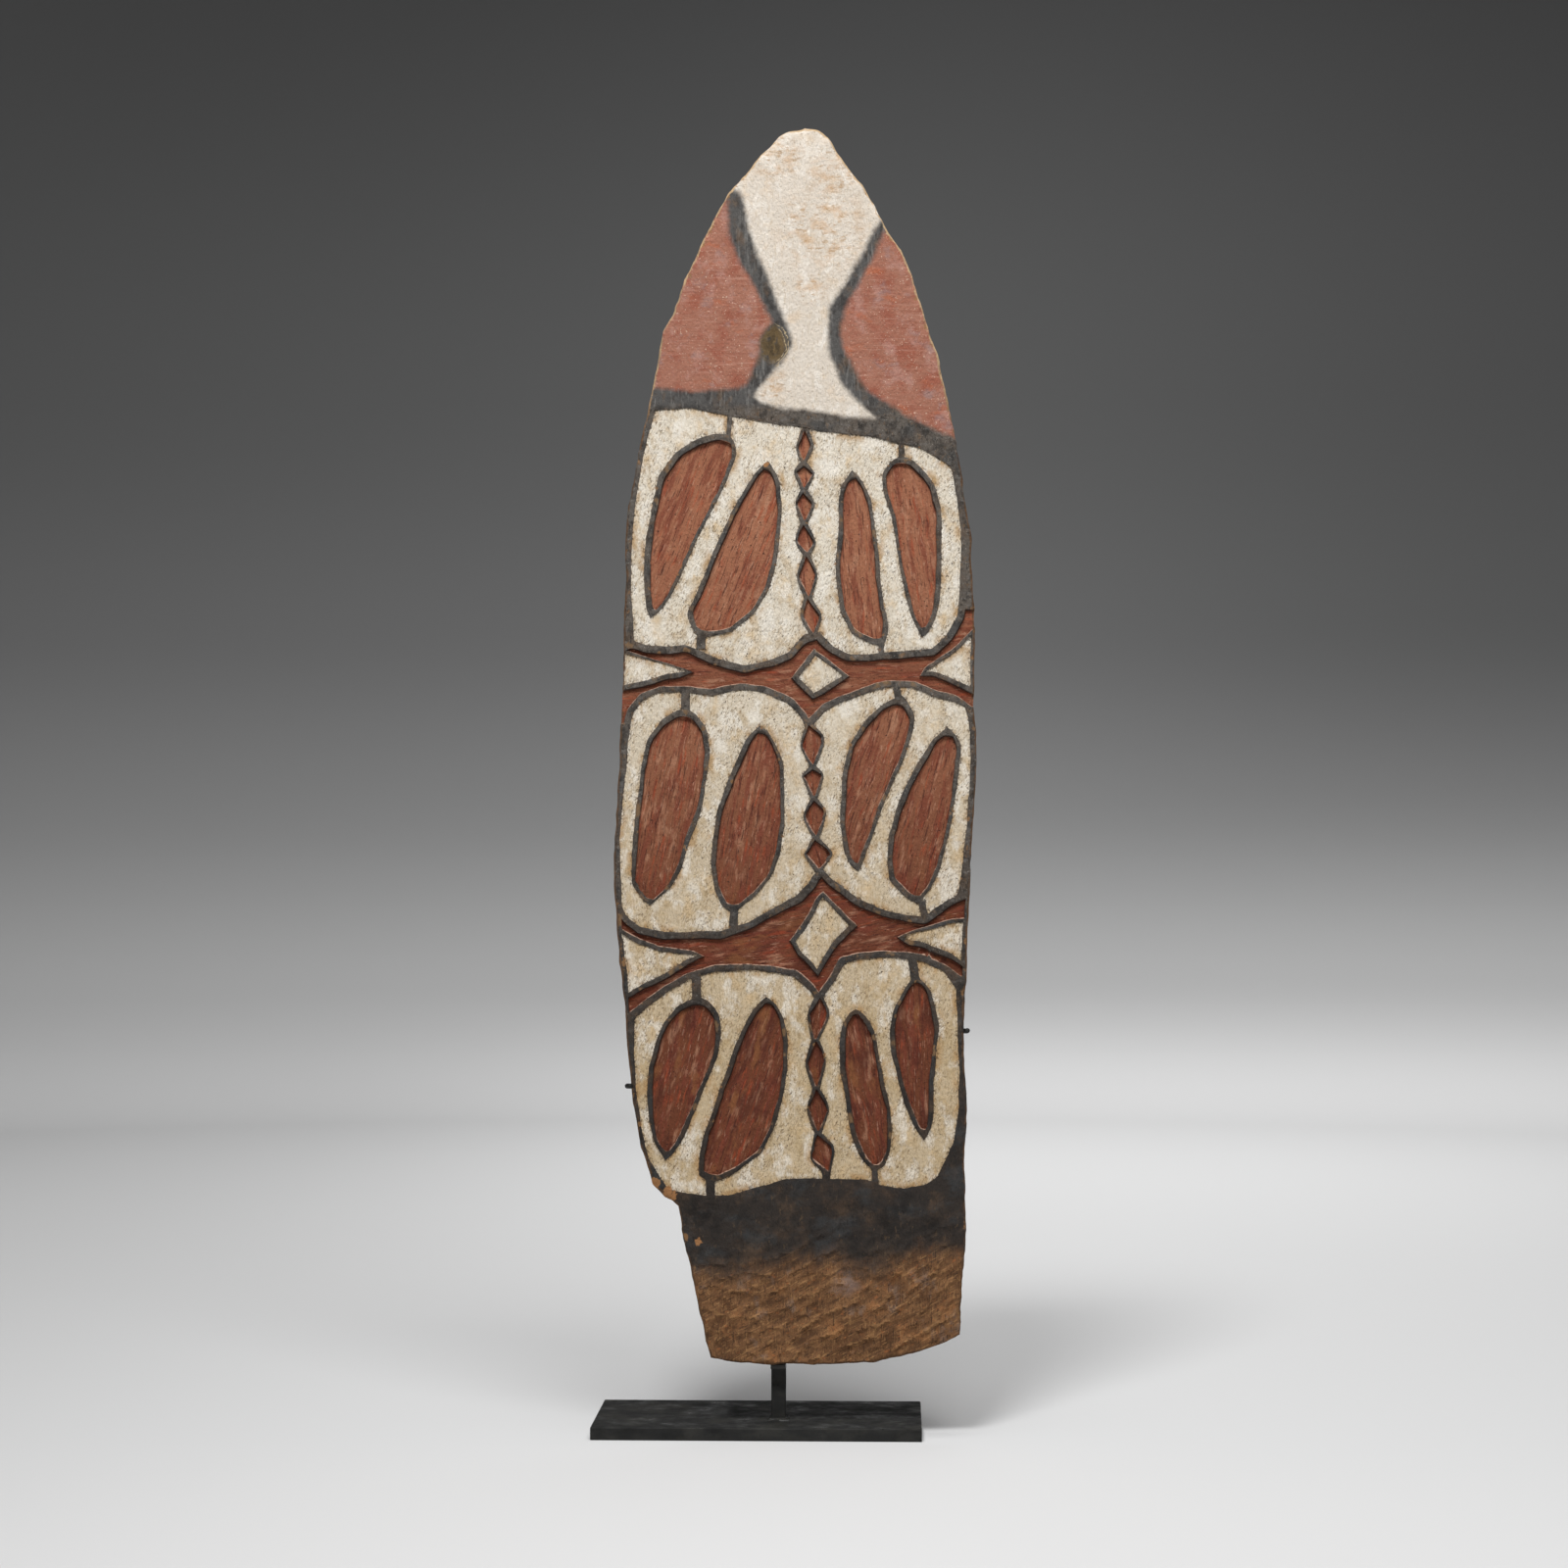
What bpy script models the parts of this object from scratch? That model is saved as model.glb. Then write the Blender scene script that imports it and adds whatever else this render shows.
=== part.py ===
"""Tall carved and painted wooden shield, leaning back on its steel plate stand.

The board is cut from one plank: a flat front with ridges left standing between a shallow ground
and deeper pockets, an adzed foot with a lost corner, and a grip carved in one with the back.
The stand is a flat plate, a square post with a shelf under the board, and two bent arms.
Sizes are in millimetres; the board's own frame has u to the right, v up and depth to the back.
"""
import bpy
import bmesh
from math import cos, pi, radians, sin, tan
from mathutils import Vector

MM = 0.001
NAME = "carved_shield"

# board
BOARD_THICK = 25.0
RIM_THICK = 13.0
EDGE_CUT = 2.5
SPINE_LOW, SPINE_HIGH = 250.0, 1250.0
FLAT_SHARE, SLOPE_SHARE = 0.42, 0.72
SLOPE_DROP = 3.0
FRONT_MARGIN = 1.0

# carving
GROUND_DEPTH = 2.0
POCKET_DEPTH = 5.0
WALL_DRAFT = tan(radians(18.0))
LEAF_RIDGE = 5.6
CHAIN_RIDGE = 3.6
BAND_RIDGE = 7.5
ISLAND_RIDGE = 5.0
RIM_LINE = 6.0
CHAIN_NECK = 2.8
LEAST_CUT = 4.0
LEAF_STEPS = 100
POCKET_POINT = 0.004

# grip on the back
GRIP_U, GRIP_V = 18.0, 780.0
GRIP_WIDTH = 28.0
GRIP_HALF_LENGTH, GRIP_RISE = 96.0, 66.0
FINGER_HALF_LENGTH, FINGER_RISE = 62.0, 42.0
BOW_CURVE, FINGER_CURVE = 3.0, 2.6
GRIP_SUNK = 4.0
GRIP_ROUND = 5.0
GRIP_STEPS = 12

# stand
LEAN = radians(4.0)
PLATE_SIZE = (406.0, 203.0, 16.0)
PLATE_ROUND = 1.5
POST_ROUND = 1.0
POST_SIDE = 18.0
POST_X, POST_Y = 26.0, -40.5
POST_TOP = 980.0
BOARD_RIGHT_OF_POST = 25.7
BOARD_LIFT = 70.5
SHELF_THICK = 5.0
SHELF_REACH = 22.0
WELD_WIDTH, WELD_HEIGHT = 4.5, 4.0
WELD_PROFILE = ((1.0, 0.0), (0.8, 0.45), (-0.2, 1.0))
ROD = 6.35
ROD_BEND = 9.0
LEFT_ARM_V, RIGHT_ARM_V = 341.0, 410.5
LEFT_TIP_TURN = 6.0
RIGHT_TIP_BACK = 1.0
GAP = 0.3

# where the chisel changes direction along a side, as shares of its length
SHARES = (0.02, 0.08, 0.18, 0.32, 0.48, 0.64, 0.78, 0.90, 0.98)

# outline of the board, round from the top and down the left: end of each run, then how far its
# evenly spaced cuts stand inside the straight line
TOP = (5, 1557)
OUTLINE = (
    ((-158, 1332), (-19, -26, -27, -30, -27, -22, -16, -10)),
    ((-221, 981), (-11, -10, -10, -11, -13, -12, -13, -7)),
    ((-233, 630), (0, 2, 2, 2, 2, 1)),
    ((-182, 220), (-5, -7, -9, -8, -11, -12, -12, -9)),
    ((-150, 193), (-1, -2, 1)),
    ((-109, 7), (-3, -2, -1, -2, -2)),
    ((19, -2), (-4, -3, -2, 0)),
    ((199, 37), (-4, -8, -11, -12, -10, -7)),
    ((205, 421), (-1, -4, -6, -4, -2, -4, -4, -1)),
    ((222, 766), (0, 1, 1, 0)),
    ((216, 989), (2, 2, 0, -2, -2, -1)),
    ((149, 1343), (-7, -9, -10, -11, -11, -10, -10, -4)),
    (TOP, (-8, -13, -14, -16, -20, -18, -18, -17)),
)

# the three grounds: their edges from left to right or from top to bottom, each as start, end and
# how far the cuts stand off the straight line
GROUNDS = {
    "upper": {
        "top": (((-184, 1194), (190, 1119), (11, 11, 11, 13, 13, 18, 18, 17)),),
        "right": ((190, 1119), (199, 930), (6, 9, 7, 4)),
        "low": (((-210, 899), (7, 907), (-3, -8, -9, -10, -27, -37, -32, -22, -5)),
                ((25, 909), (199, 930), (-7, -20, -32, -35, -35, -37, -38, -22, -4))),
        "left": ((-184, 1194), (-210, 899), (-10, -14, -13, -10)),
    },
    "middle": {
        "top": (((-214, 792), (6, 791), (18, 34, 42, 42, 38, 46, 41, 30, 10)),
                ((17, 794), (212, 797), (5, 17, 26, 36, 44, 43, 32, 26, 18))),
        "right": ((212, 797), (198, 580), (4, 6, 6, 4)),
        "low": (((-222, 562), (17, 605), (-12, -28, -38, -44, -51, -44, -33, -24, -9)),
                ((29, 611), (198, 580), (-3, -10, -18, -30, -37, -38, -36, -14, -4))),
        "left": ((-214, 792), (-222, 562), (-3, -5, -7, -5)),
    },
    "lower": {
        "top": (((-206, 426), (20, 450), (3, 12, 26, 40, 47, 44, 38, 30, 9)),
                ((29, 450), (196, 463), (4, 17, 42, 46, 46, 42, 36, 24, 6))),
        "right": ((196, 463), (170, 228), (6, 14, 18, 16)),
        "low": (((-162, 212), (-14, 228), (-6, -11, -13, -9, -5)),
                ((86, 226), (170, 228), (-7, -9, -11, -10, -8))),
        "left": ((-206, 426), (-162, 212), (-10, -15, -19, -18)),
    },
}

# leaves: head, tip, then how far the left and the right side stand off the line between them
LEAVES = {
    "upper": (
        ((-93, 1162), (-187, 928), (14, 33, 52, 60, 53, 44, 32, 20, 7),
         (12, 20, 21, 20, 16, 14, 13, 10, 4)),
        ((-41, 1128), (-125, 901), (3, 9, 14, 20, 23, 24, 25, 27, 12),
         (6, 22, 35, 45, 54, 59, 52, 34, 8)),
        ((66, 1115), (103, 892), (5, 18, 25, 29, 39, 44, 44, 35, 12),
         (3, 11, 17, 16, 15, 11, 10, 12, 5)),
        ((128, 1133), (153, 903), (14, 26, 27, 21, 19, 17, 14, 9, 2),
         (12, 24, 37, 41, 38, 34, 29, 20, 7)),
    ),
    "middle": (
        ((-144, 813), (-187, 566), (10, 27, 39, 42, 38, 36, 32, 28, 10),
         (14, 30, 39, 42, 42, 35, 31, 21, 5)),
        ((-50, 792), (-84, 557), (4, 14, 21, 29, 37, 37, 34, 26, 13),
         (10, 21, 35, 41, 47, 48, 42, 24, 6)),
        ((128, 828), (74, 609), (7, 23, 38, 48, 49, 42, 36, 25, 12),
         (7, 20, 23, 22, 15, 9, 7, 3, 1)),
        ((185, 789), (149, 568), (5, 16, 25, 37, 46, 50, 48, 41, 16),
         (6, 19, 21, 23, 23, 22, 19, 11, 2)),
    ),
    "lower": (
        ((-125, 452), (-166, 249), (7, 23, 35, 42, 43, 37, 30, 19, 4),
         (14, 28, 35, 37, 31, 25, 18, 12, 3)),
        ((-41, 452), (-111, 223), (3, 12, 16, 20, 21, 21, 23, 20, 14),
         (14, 28, 40, 50, 56, 56, 51, 30, 9)),
        ((70, 437), (94, 237), (8, 17, 23, 26, 26, 25, 24, 16, 6),
         (6, 13, 20, 22, 24, 28, 27, 20, 10)),
        ((147, 477), (155, 274), (9, 18, 30, 37, 35, 29, 21, 12, 2),
         (5, 15, 20, 23, 19, 14, 13, 10, 3)),
    ),
}

# middle chains of small pockets: the crossings down the middle, then the two corners between
CHAINS = {
    "upper": (((5, 1168), (4, 1126), (4, 1090), (5, 1048), (8, 1007), (10, 953), (16, 906)),
              (((-6, 1144), (15, 1147)), ((-7, 1114), (16, 1111)), ((-6, 1074), (17, 1073)),
               ((-6, 1026), (19, 1024)), ((-3, 980), (20, 983)), ((3, 927), (26, 930)))),
    "middle": (((12, 795), (16, 741), (18, 700), (20, 652), (23, 608)),
               (((2, 765), (29, 776)), ((4, 728), (29, 729)), ((5, 678), (33, 683)),
                ((8, 630), (40, 631)))),
    "lower": (((25, 453), (20, 398), (21, 340), (24, 285), (34, 234)),
              (((11, 430), (37, 432)), ((9, 369), (33, 373)), ((10, 313), (36, 314)),
               ((15, 253), (42, 267)))),
}

# short ridges that tie a leaf to the edge of its ground: two ends and a width
STEMS = {
    "upper": (((-89, 1188), (-92, 1160), 5), ((128, 1152), (128, 1131), 6),
              ((-125, 904), (-125, 888), 10), ((102, 896), (102, 880), 6)),
    "middle": (((-144, 836), (-144, 811), 10), ((-82, 560), (-82, 534), 10),
               ((121, 843), (124, 824), 8), ((153, 571), (155, 550), 8)),
    "lower": (((-129, 485), (-129, 449), 10), ((141, 502), (144, 474), 10),
              ((-110, 227), (-110, 203), 10), ((93, 240), (95, 216), 7),
              ((34, 240), (34, 222), 9)),
}

# islands left standing in the two bands: one in the middle, one at either edge
ISLANDS = {
    "upper": (((18, 888), (-10, 852), (16, 826), (28, 832), (61, 854)),
              ((-252, 897), (-252, 833), (-193, 843), (-171, 850), (-147, 854), (-134, 860)),
              ((252, 942), (193, 890), (165, 870), (157, 865), (151, 855), (165, 855), (179, 850),
               (196, 842), (252, 818))),
    "lower": (((29, 582), (22, 576), (11, 554), (6, 545), (-12, 522), (-3, 505), (8, 496),
               (22, 479), (34, 498), (49, 521), (71, 541), (54, 557)),
              ((-252, 551), (-252, 434), (-191, 464), (-169, 474), (-152, 485), (-137, 494),
               (-119, 503), (-137, 510), (-153, 511), (-176, 514), (-199, 523)),
              ((252, 556), (187, 549), (172, 544), (151, 537), (123, 527),
               (135, 515), (157, 507), (179, 498), (252, 469))),
}

# how wide a rim the side islands keep along the edge of the board, where they keep one
ISLAND_RIMS = {"upper": (None, None, 4.0), "lower": (None, RIM_LINE, RIM_LINE)}

# the bands between the grounds: the rim left at the board's edge, then how the upper side runs out
# on the left and on the right, and the lower side
BANDS = {
    "upper": ("middle", None, ((-255, 875), (-213, 890)), ((205, 926), (207, 939), (255, 942)),
              ((-255, 787), (-221, 794)), ((216, 815), (255, 815))),
    "middle": ("lower", 5.0, ((-255, 569), (-228, 558)), ((200, 572), (255, 594)),
               ((-255, 405), (-206, 436)), ((196, 485), (255, 464))),
}


def cuts(start, end, stands):
    """A side from start to end, made of straight cuts, each corner standing off to the left."""
    a, b = Vector(start), Vector(end)
    across = Vector((a.y - b.y, b.x - a.x)).normalized()
    even = [(k + 1) / (len(stands) + 1) for k in range(len(stands))]
    shares = SHARES if len(stands) == len(SHARES) else even
    return [a] + [a.lerp(b, s) + across * w for s, w in zip(shares, stands)] + [b]


def area(points):
    """Signed area; positive for a loop that runs to the left."""
    pairs = zip(points, points[1:] + points[:1])
    return sum(p.x * q.y - q.x * p.y for p, q in pairs) / 2


def grown(points, distance, closed=True):
    """The line moved to its right by a distance, corners mitred but never stretched far."""
    count = len(points)
    moved = []
    for k, p in enumerate(points):
        before = points[k - 1] if closed or k else None
        after = points[(k + 1) % count] if closed or k < count - 1 else None
        sides = [(p - before).normalized()] if before is not None else []
        sides += [(after - p).normalized()] if after is not None else []
        normals = [Vector((s.y, -s.x)) for s in sides]
        push = sum(normals, Vector((0, 0)))
        reach = max(push.dot(normals[0]), 0.45 * len(normals))
        moved.append(p + push * (distance / reach))
    return moved


def outline():
    points, start = [], TOP
    for end, stands in OUTLINE:
        points += cuts(start, end, stands)[:-1]
        start = end
    return points


def edge_at(height, side):
    """Where the board's edge lies at a height, on the left (side -1) or the right (side 1)."""
    points = outline()
    found = []
    for p, q in zip(points, points[1:] + points[:1]):
        if min(p.y, q.y) <= height < max(p.y, q.y):
            found.append(p.x + (q.x - p.x) * (height - p.y) / (q.y - p.y))
    return max(found) if side > 0 else min(found)


def ground(edges):
    top = [p for part in edges["top"] for p in cuts(*part)]
    low = [p for part in edges["low"] for p in cuts(*part)]
    right = cuts(*edges["right"])[1:-1]
    left = cuts(*edges["left"])[1:-1]
    return list(reversed(top)) + left + low + list(reversed(right))


def spaced(points, least):
    """The same line without corners that crowd closer than the chisel could turn."""
    kept = [points[0]]
    for p in points[1:]:
        if (p - kept[-1]).length >= least:
            kept.append(p)
    return kept


def trimmed(points, a, b):
    """The part of a loop that lies to the left of the line from a to b."""
    across = Vector((a.y - b.y, b.x - a.x))
    kept = []
    for p, q in zip(points, points[1:] + points[:1]):
        inside, next_inside = (p - a).dot(across), (q - a).dot(across)
        if inside >= 0:
            kept.append(p)
        if inside * next_inside < 0:
            kept.append(p.lerp(q, inside / (inside - next_inside)))
    return kept


def within_rim(points, rim):
    """The same loop held off the edge of the board by a rim, or left alone without one."""
    if rim is None:
        return points
    heights = [p.y for p in points]
    low, high = min(heights), max(heights)
    left = [Vector((edge_at(v, -1) + rim, v)) for v in (high, low)]
    right = [Vector((edge_at(v, 1) - rim, v)) for v in (low, high)]
    return spaced(trimmed(trimmed(points, *left), *right), LEAST_CUT)


def band(above, below, rim, *arms):
    """The sunk band between two grounds, with four arms that reach the board's edge or its rim."""
    sides = []
    for parts, away in ((GROUNDS[above]["low"], BAND_RIDGE), (GROUNDS[below]["top"], -BAND_RIDGE)):
        left, right = [[Vector(p) for p in arm] for arm in arms[2 * len(sides):][:2]]
        line = grown([p for part in parts for p in cuts(*part)], away, closed=False)
        low, high = left[-1].x + LEAST_CUT, right[0].x - LEAST_CUT
        sides.append(left + spaced([p for p in line if low < p.x < high], LEAST_CUT) + right)
    upper, lower = sides
    return within_rim(lower + list(reversed(upper)), rim)


def leaf_width(stands, share):
    """How far a side stands off the leaf's middle line at a share of its length, and its slope."""
    marks = (0.0,) + SHARES + (1.0,)
    widths = (0.0,) + tuple(stands) + (0.0,)
    k = max(j for j in range(len(marks) - 1) if marks[j] <= share or j == 0)
    slope = (widths[k + 1] - widths[k]) / (marks[k + 1] - marks[k])
    return widths[k] + slope * (share - marks[k]), slope


def leaf(head, tip, left, right):
    """A leaf between head and tip, seen with the head up."""
    left = [-width for width in left]
    return cuts(head, tip, left) + list(reversed(cuts(head, tip, right)[1:-1]))


def leaf_pocket(head, tip, left, right, inset):
    """The leaf with its sides closed in by the inset and its ends drawn back to where they meet."""
    a, b = Vector(head), Vector(tip)
    length = (b - a).length
    across = Vector((b.y - a.y, a.x - b.x)).normalized()
    sides = []
    for stands in (left, right):
        side = []
        for k in range(LEAF_STEPS + 1):
            width, slope = leaf_width(stands, k / LEAF_STEPS)
            side.append(width - inset * (1 + (slope / length) ** 2) ** 0.5)
        sides.append(side)
    open_steps = [k for k in range(LEAF_STEPS + 1) if sides[0][k] + sides[1][k] > 0.0]
    first, last = open_steps[0], open_steps[-1]
    lines = []
    for side, sign in zip(sides, (1, -1)):
        line = []
        for share in SHARES:
            step = first + (last - first) * share
            low = min(int(step), LEAF_STEPS - 1)
            width = side[low] + (side[low + 1] - side[low]) * (step - low)
            line.append(a.lerp(b, step / LEAF_STEPS) + across * (sign * width))
        lines.append(line)
    left_line, right_line = lines
    point = (a - b) * POCKET_POINT
    top = (left_line[0] + right_line[0]) / 2 + point
    bottom = (left_line[-1] + right_line[-1]) / 2 - point
    return [top] + right_line + [bottom] + list(reversed(left_line))


def chain_body(crossings, corners):
    neck = Vector((CHAIN_NECK, 0))
    left = [Vector(crossings[0]) - neck]
    right = [Vector(crossings[0]) + neck]
    for (a, b), cross in zip(corners, crossings[1:]):
        left += [Vector(a), Vector(cross) - neck]
        right += [Vector(b), Vector(cross) + neck]
    return left + list(reversed(right))


def chain_pockets(crossings, corners):
    for above, (a, b), below in zip(crossings, corners, crossings[1:]):
        yield [Vector(above), Vector(a), Vector(below), Vector(b)]


def stem(start, end, width):
    a, b = Vector(start), Vector(end)
    across = Vector((a.y - b.y, b.x - a.x)).normalized() * (width / 2)
    return [a + across, a - across, b - across, b + across]


def island_ground(points, rim):
    """The shallow ground inside an island."""
    return within_rim(grown(points, -ISLAND_RIDGE), rim)


def new_object(name, bm, group):
    bmesh.ops.recalc_face_normals(bm, faces=bm.faces)
    mesh = bpy.data.meshes.new(name)
    bm.to_mesh(mesh)
    bm.free()
    thing = bpy.data.objects.new(name, mesh)
    group.objects.link(thing)
    return thing


def loft(bm, rings):
    """Closed skin through rings of equal count, flat caps on the first and the last."""
    loops = [[bm.verts.new(p) for p in ring] for ring in rings]
    for low, high in zip(loops, loops[1:]):
        for k in range(len(low)):
            n = (k + 1) % len(low)
            bm.faces.new((low[k], low[n], high[n], high[k]))
    bm.faces.new(loops[0])
    bm.faces.new(list(reversed(loops[-1])))


def flat(points, depth):
    return [Vector((p.x, depth, p.y)) * MM for p in points]


def sink(bm, front, floor, depth):
    """A cutter from just above the board's front down to a flat floor with leaning walls."""
    above = [p + (p - q) * (FRONT_MARGIN / depth) for p, q in zip(front, floor)]
    loft(bm, [flat(above, -FRONT_MARGIN), flat(floor, depth)])


def sunk_walls(bm, points, depth):
    points = points if area(points) > 0 else list(reversed(points))
    sink(bm, points, grown(points, -WALL_DRAFT * depth), depth)


def standing_walls(bm, points):
    """What is left standing in a ground: the same, but wider at its foot."""
    points = points if area(points) > 0 else list(reversed(points))
    deep = GROUND_DEPTH + FRONT_MARGIN
    above = grown(points, -WALL_DRAFT * 2 * FRONT_MARGIN)
    below = grown(points, WALL_DRAFT * deep)
    loft(bm, [flat(above, -2 * FRONT_MARGIN), flat(below, deep)])


def combine(target, tool, kind):
    step = target.modifiers.new(kind.lower(), 'BOOLEAN')
    step.operation = kind
    step.solver = 'EXACT'
    step.object = tool
    graph = bpy.context.evaluated_depsgraph_get()
    result = bpy.data.meshes.new_from_object(target.evaluated_get(graph))
    target.modifiers.clear()
    spent = target.data
    target.data = result
    bpy.data.meshes.remove(spent)


def hide_cutter(thing):
    thing.hide_render = True
    thing.display_type = 'WIRE'


def bevelled(thing, width, segments, angle=30.0):
    step = thing.modifiers.new("rounding", 'BEVEL')
    step.width = width * MM
    step.segments = segments
    step.limit_method = 'ANGLE'
    step.angle_limit = radians(angle)
    graph = bpy.context.evaluated_depsgraph_get()
    result = bpy.data.meshes.new_from_object(thing.evaluated_get(graph))
    thing.modifiers.clear()
    spent = thing.data
    thing.data = result
    bpy.data.meshes.remove(spent)


def board_blank(group):
    """The plank: flat front, worn corners, back rising to its full thickness in the middle."""
    edge = outline()
    inside = grown(edge, -EDGE_CUT)

    def drawn_in(points, share):
        drawn = []
        for p in points:
            spine = Vector((0.0, min(max(p.y, SPINE_LOW), SPINE_HIGH)))
            drawn.append(spine + (p - spine) * share)
        return drawn

    bm = bmesh.new()
    loft(bm, [flat(inside, 0.0), flat(edge, EDGE_CUT), flat(edge, RIM_THICK - EDGE_CUT),
              flat(inside, RIM_THICK), flat(drawn_in(edge, SLOPE_SHARE), BOARD_THICK - SLOPE_DROP),
              flat(drawn_in(edge, FLAT_SHARE), BOARD_THICK)])
    return new_object("shield_board", bm, group)


def grip(group):
    """The bow of the grip, seen from the side: an arch with an opening for the fingers."""
    def arch(half_length, rise, power):
        line = []
        for k in range(GRIP_STEPS + 1):
            t = cos(pi * k / GRIP_STEPS)
            line.append((GRIP_V + half_length * t, BOARD_THICK + rise * (1 - abs(t) ** power)))
        return line

    outer = arch(GRIP_HALF_LENGTH, GRIP_RISE, BOW_CURVE)
    inner = arch(FINGER_HALF_LENGTH, FINGER_RISE, FINGER_CURVE)
    sunk = BOARD_THICK - GRIP_SUNK
    side = [(GRIP_V + GRIP_HALF_LENGTH, sunk)] + outer + [(GRIP_V - GRIP_HALF_LENGTH, sunk)]
    side += [(GRIP_V - FINGER_HALF_LENGTH, sunk)] + list(reversed(inner))
    side += [(GRIP_V + FINGER_HALF_LENGTH, sunk)]
    bm = bmesh.new()
    rings = []
    for u in (GRIP_U - GRIP_WIDTH / 2, GRIP_U + GRIP_WIDTH / 2):
        rings.append([Vector((u, depth, v)) * MM for v, depth in side])
    loft(bm, rings)
    bow = new_object("grip_bow", bm, group)
    bevelled(bow, GRIP_ROUND, 2, 50.0)
    return bow


def carve(board, cutters):
    bm = bmesh.new()
    for edges in GROUNDS.values():
        sunk_walls(bm, ground(edges), GROUND_DEPTH)
    shallow = new_object("ground_cutter", bm, cutters)
    for name in GROUNDS:
        bodies = [leaf(*row) for row in LEAVES[name]]
        bodies += [chain_body(*CHAINS[name])]
        bodies += [stem(*row) for row in STEMS[name]]
        for k, body in enumerate(bodies):
            bm = bmesh.new()
            standing_walls(bm, body)
            keeper = new_object(f"left_standing_{name}_{k}", bm, cutters)
            combine(shallow, keeper, 'DIFFERENCE')
            hide_cutter(keeper)

    bm = bmesh.new()
    for above, row in BANDS.items():
        sunk_walls(bm, band(above, *row), POCKET_DEPTH)
    deep = new_object("pocket_cutter", bm, cutters)
    for name, islands in ISLANDS.items():
        for k, island in enumerate(islands):
            bm = bmesh.new()
            points = [Vector(p) for p in island]
            points = points if area(points) > 0 else list(reversed(points))
            deepest = POCKET_DEPTH + FRONT_MARGIN
            loft(bm, [flat(grown(points, -WALL_DRAFT * 2 * FRONT_MARGIN), -2 * FRONT_MARGIN),
                      flat(grown(points, WALL_DRAFT * deepest), deepest)])
            keeper = new_object(f"island_{name}_{k}", bm, cutters)
            combine(deep, keeper, 'DIFFERENCE')
            hide_cutter(keeper)
            bm = bmesh.new()
            sunk_walls(bm, island_ground(points, ISLAND_RIMS[name][k]), GROUND_DEPTH)
            inside = new_object(f"island_ground_{name}_{k}", bm, cutters)
            combine(board, inside, 'DIFFERENCE')
            hide_cutter(inside)

    bm = bmesh.new()
    for name in GROUNDS:
        for row in LEAVES[name]:
            floor = leaf_pocket(*row, LEAF_RIDGE + WALL_DRAFT * POCKET_DEPTH)
            sink(bm, leaf_pocket(*row, LEAF_RIDGE), floor, POCKET_DEPTH)
        for points in chain_pockets(*CHAINS[name]):
            front = grown(points, -CHAIN_RIDGE)
            sunk_walls(bm, front, POCKET_DEPTH)
    pockets = new_object("small_pocket_cutter", bm, cutters)
    for tool in (shallow, deep, pockets):
        combine(board, tool, 'DIFFERENCE')
        hide_cutter(tool)


def box(name, low, high, group):
    bm = bmesh.new()
    bmesh.ops.create_cube(bm, size=1.0)
    size = Vector(high) - Vector(low)
    bmesh.ops.scale(bm, vec=size * MM, verts=bm.verts)
    bmesh.ops.translate(bm, vec=(Vector(low) + Vector(high)) / 2 * MM, verts=bm.verts)
    return new_object(name, bm, group)


def stand_up(thing, lean):
    """Place a piece made in the board's frame on the leaning frame over the post's foot."""
    thing.parent = lean
    thing.location = Vector((BOARD_RIGHT_OF_POST, -(BOARD_THICK + GAP + POST_SIDE / 2), BOARD_LIFT)) * MM


def post(group, cutters, lean):
    """Square post, cut level at its foot, with the shelf and a weld round the foot."""
    half = POST_SIDE / 2
    middle = -BOARD_RIGHT_OF_POST
    front = BOARD_THICK + GAP
    foot = -BOARD_LIFT - POST_SIDE
    body = box("stand_post", (middle - half, front, foot),
               (middle + half, front + POST_SIDE, POST_TOP), group)
    bevelled(body, POST_ROUND, 1)
    under = [p.y for p in outline() if abs(p.x - middle) < POST_SIDE * 2 and p.y < SPINE_LOW]
    shelf_top = min(under) - GAP
    shelf = box("shelf", (middle - half, front - SHELF_REACH, shelf_top - SHELF_THICK),
                (middle + half, front + half, shelf_top), cutters)
    combine(body, shelf, 'UNION')
    stand_up(body, lean)

    top = PLATE_SIZE[2] + GAP
    bm = bmesh.new()
    rings = []
    for spread, height in WELD_PROFILE:
        reach = half + spread * WELD_WIDTH
        rise = height * WELD_HEIGHT
        drift = tan(LEAN) * rise
        rings.append([Vector((POST_X + x * reach, POST_Y + drift + y * reach, top + rise)) * MM
                      for x, y in ((-1, -1), (1, -1), (1, 1), (-1, 1))])
    loft(bm, rings)
    weld = new_object("weld", bm, cutters)
    below = box("below_weld", (-PLATE_SIZE[0], -PLATE_SIZE[1], foot), (PLATE_SIZE[0], PLATE_SIZE[1], top),
                cutters)
    combine(body, weld, 'UNION')
    combine(body, below, 'DIFFERENCE')
    for cutter in (shelf, weld, below):
        hide_cutter(cutter)
    return body


def rod(name, path, group):
    """A round bar bent along a path, square cut at both ends."""
    line = bpy.data.curves.new(name + "_line", 'CURVE')
    line.dimensions = '3D'
    line.bevel_depth = ROD / 2 * MM
    line.bevel_resolution = 2
    line.use_fill_caps = True
    strand = line.splines.new('POLY')
    strand.points.add(len(path) - 1)
    for point, place in zip(strand.points, path):
        point.co = (*(place * MM), 1.0)
    drawn = bpy.data.objects.new(name + "_line", line)
    group.objects.link(drawn)
    graph = bpy.context.evaluated_depsgraph_get()
    mesh = bpy.data.meshes.new_from_object(drawn.evaluated_get(graph))
    bm = bmesh.new()
    bm.from_mesh(mesh)
    bmesh.ops.remove_doubles(bm, verts=bm.verts, dist=0.00001)
    bpy.data.objects.remove(drawn)
    bpy.data.meshes.remove(mesh)
    bar = new_object(name, bm, group)
    bar.data.shade_smooth()
    bar.data.set_sharp_from_angle(angle=radians(50.0))
    return bar


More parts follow.
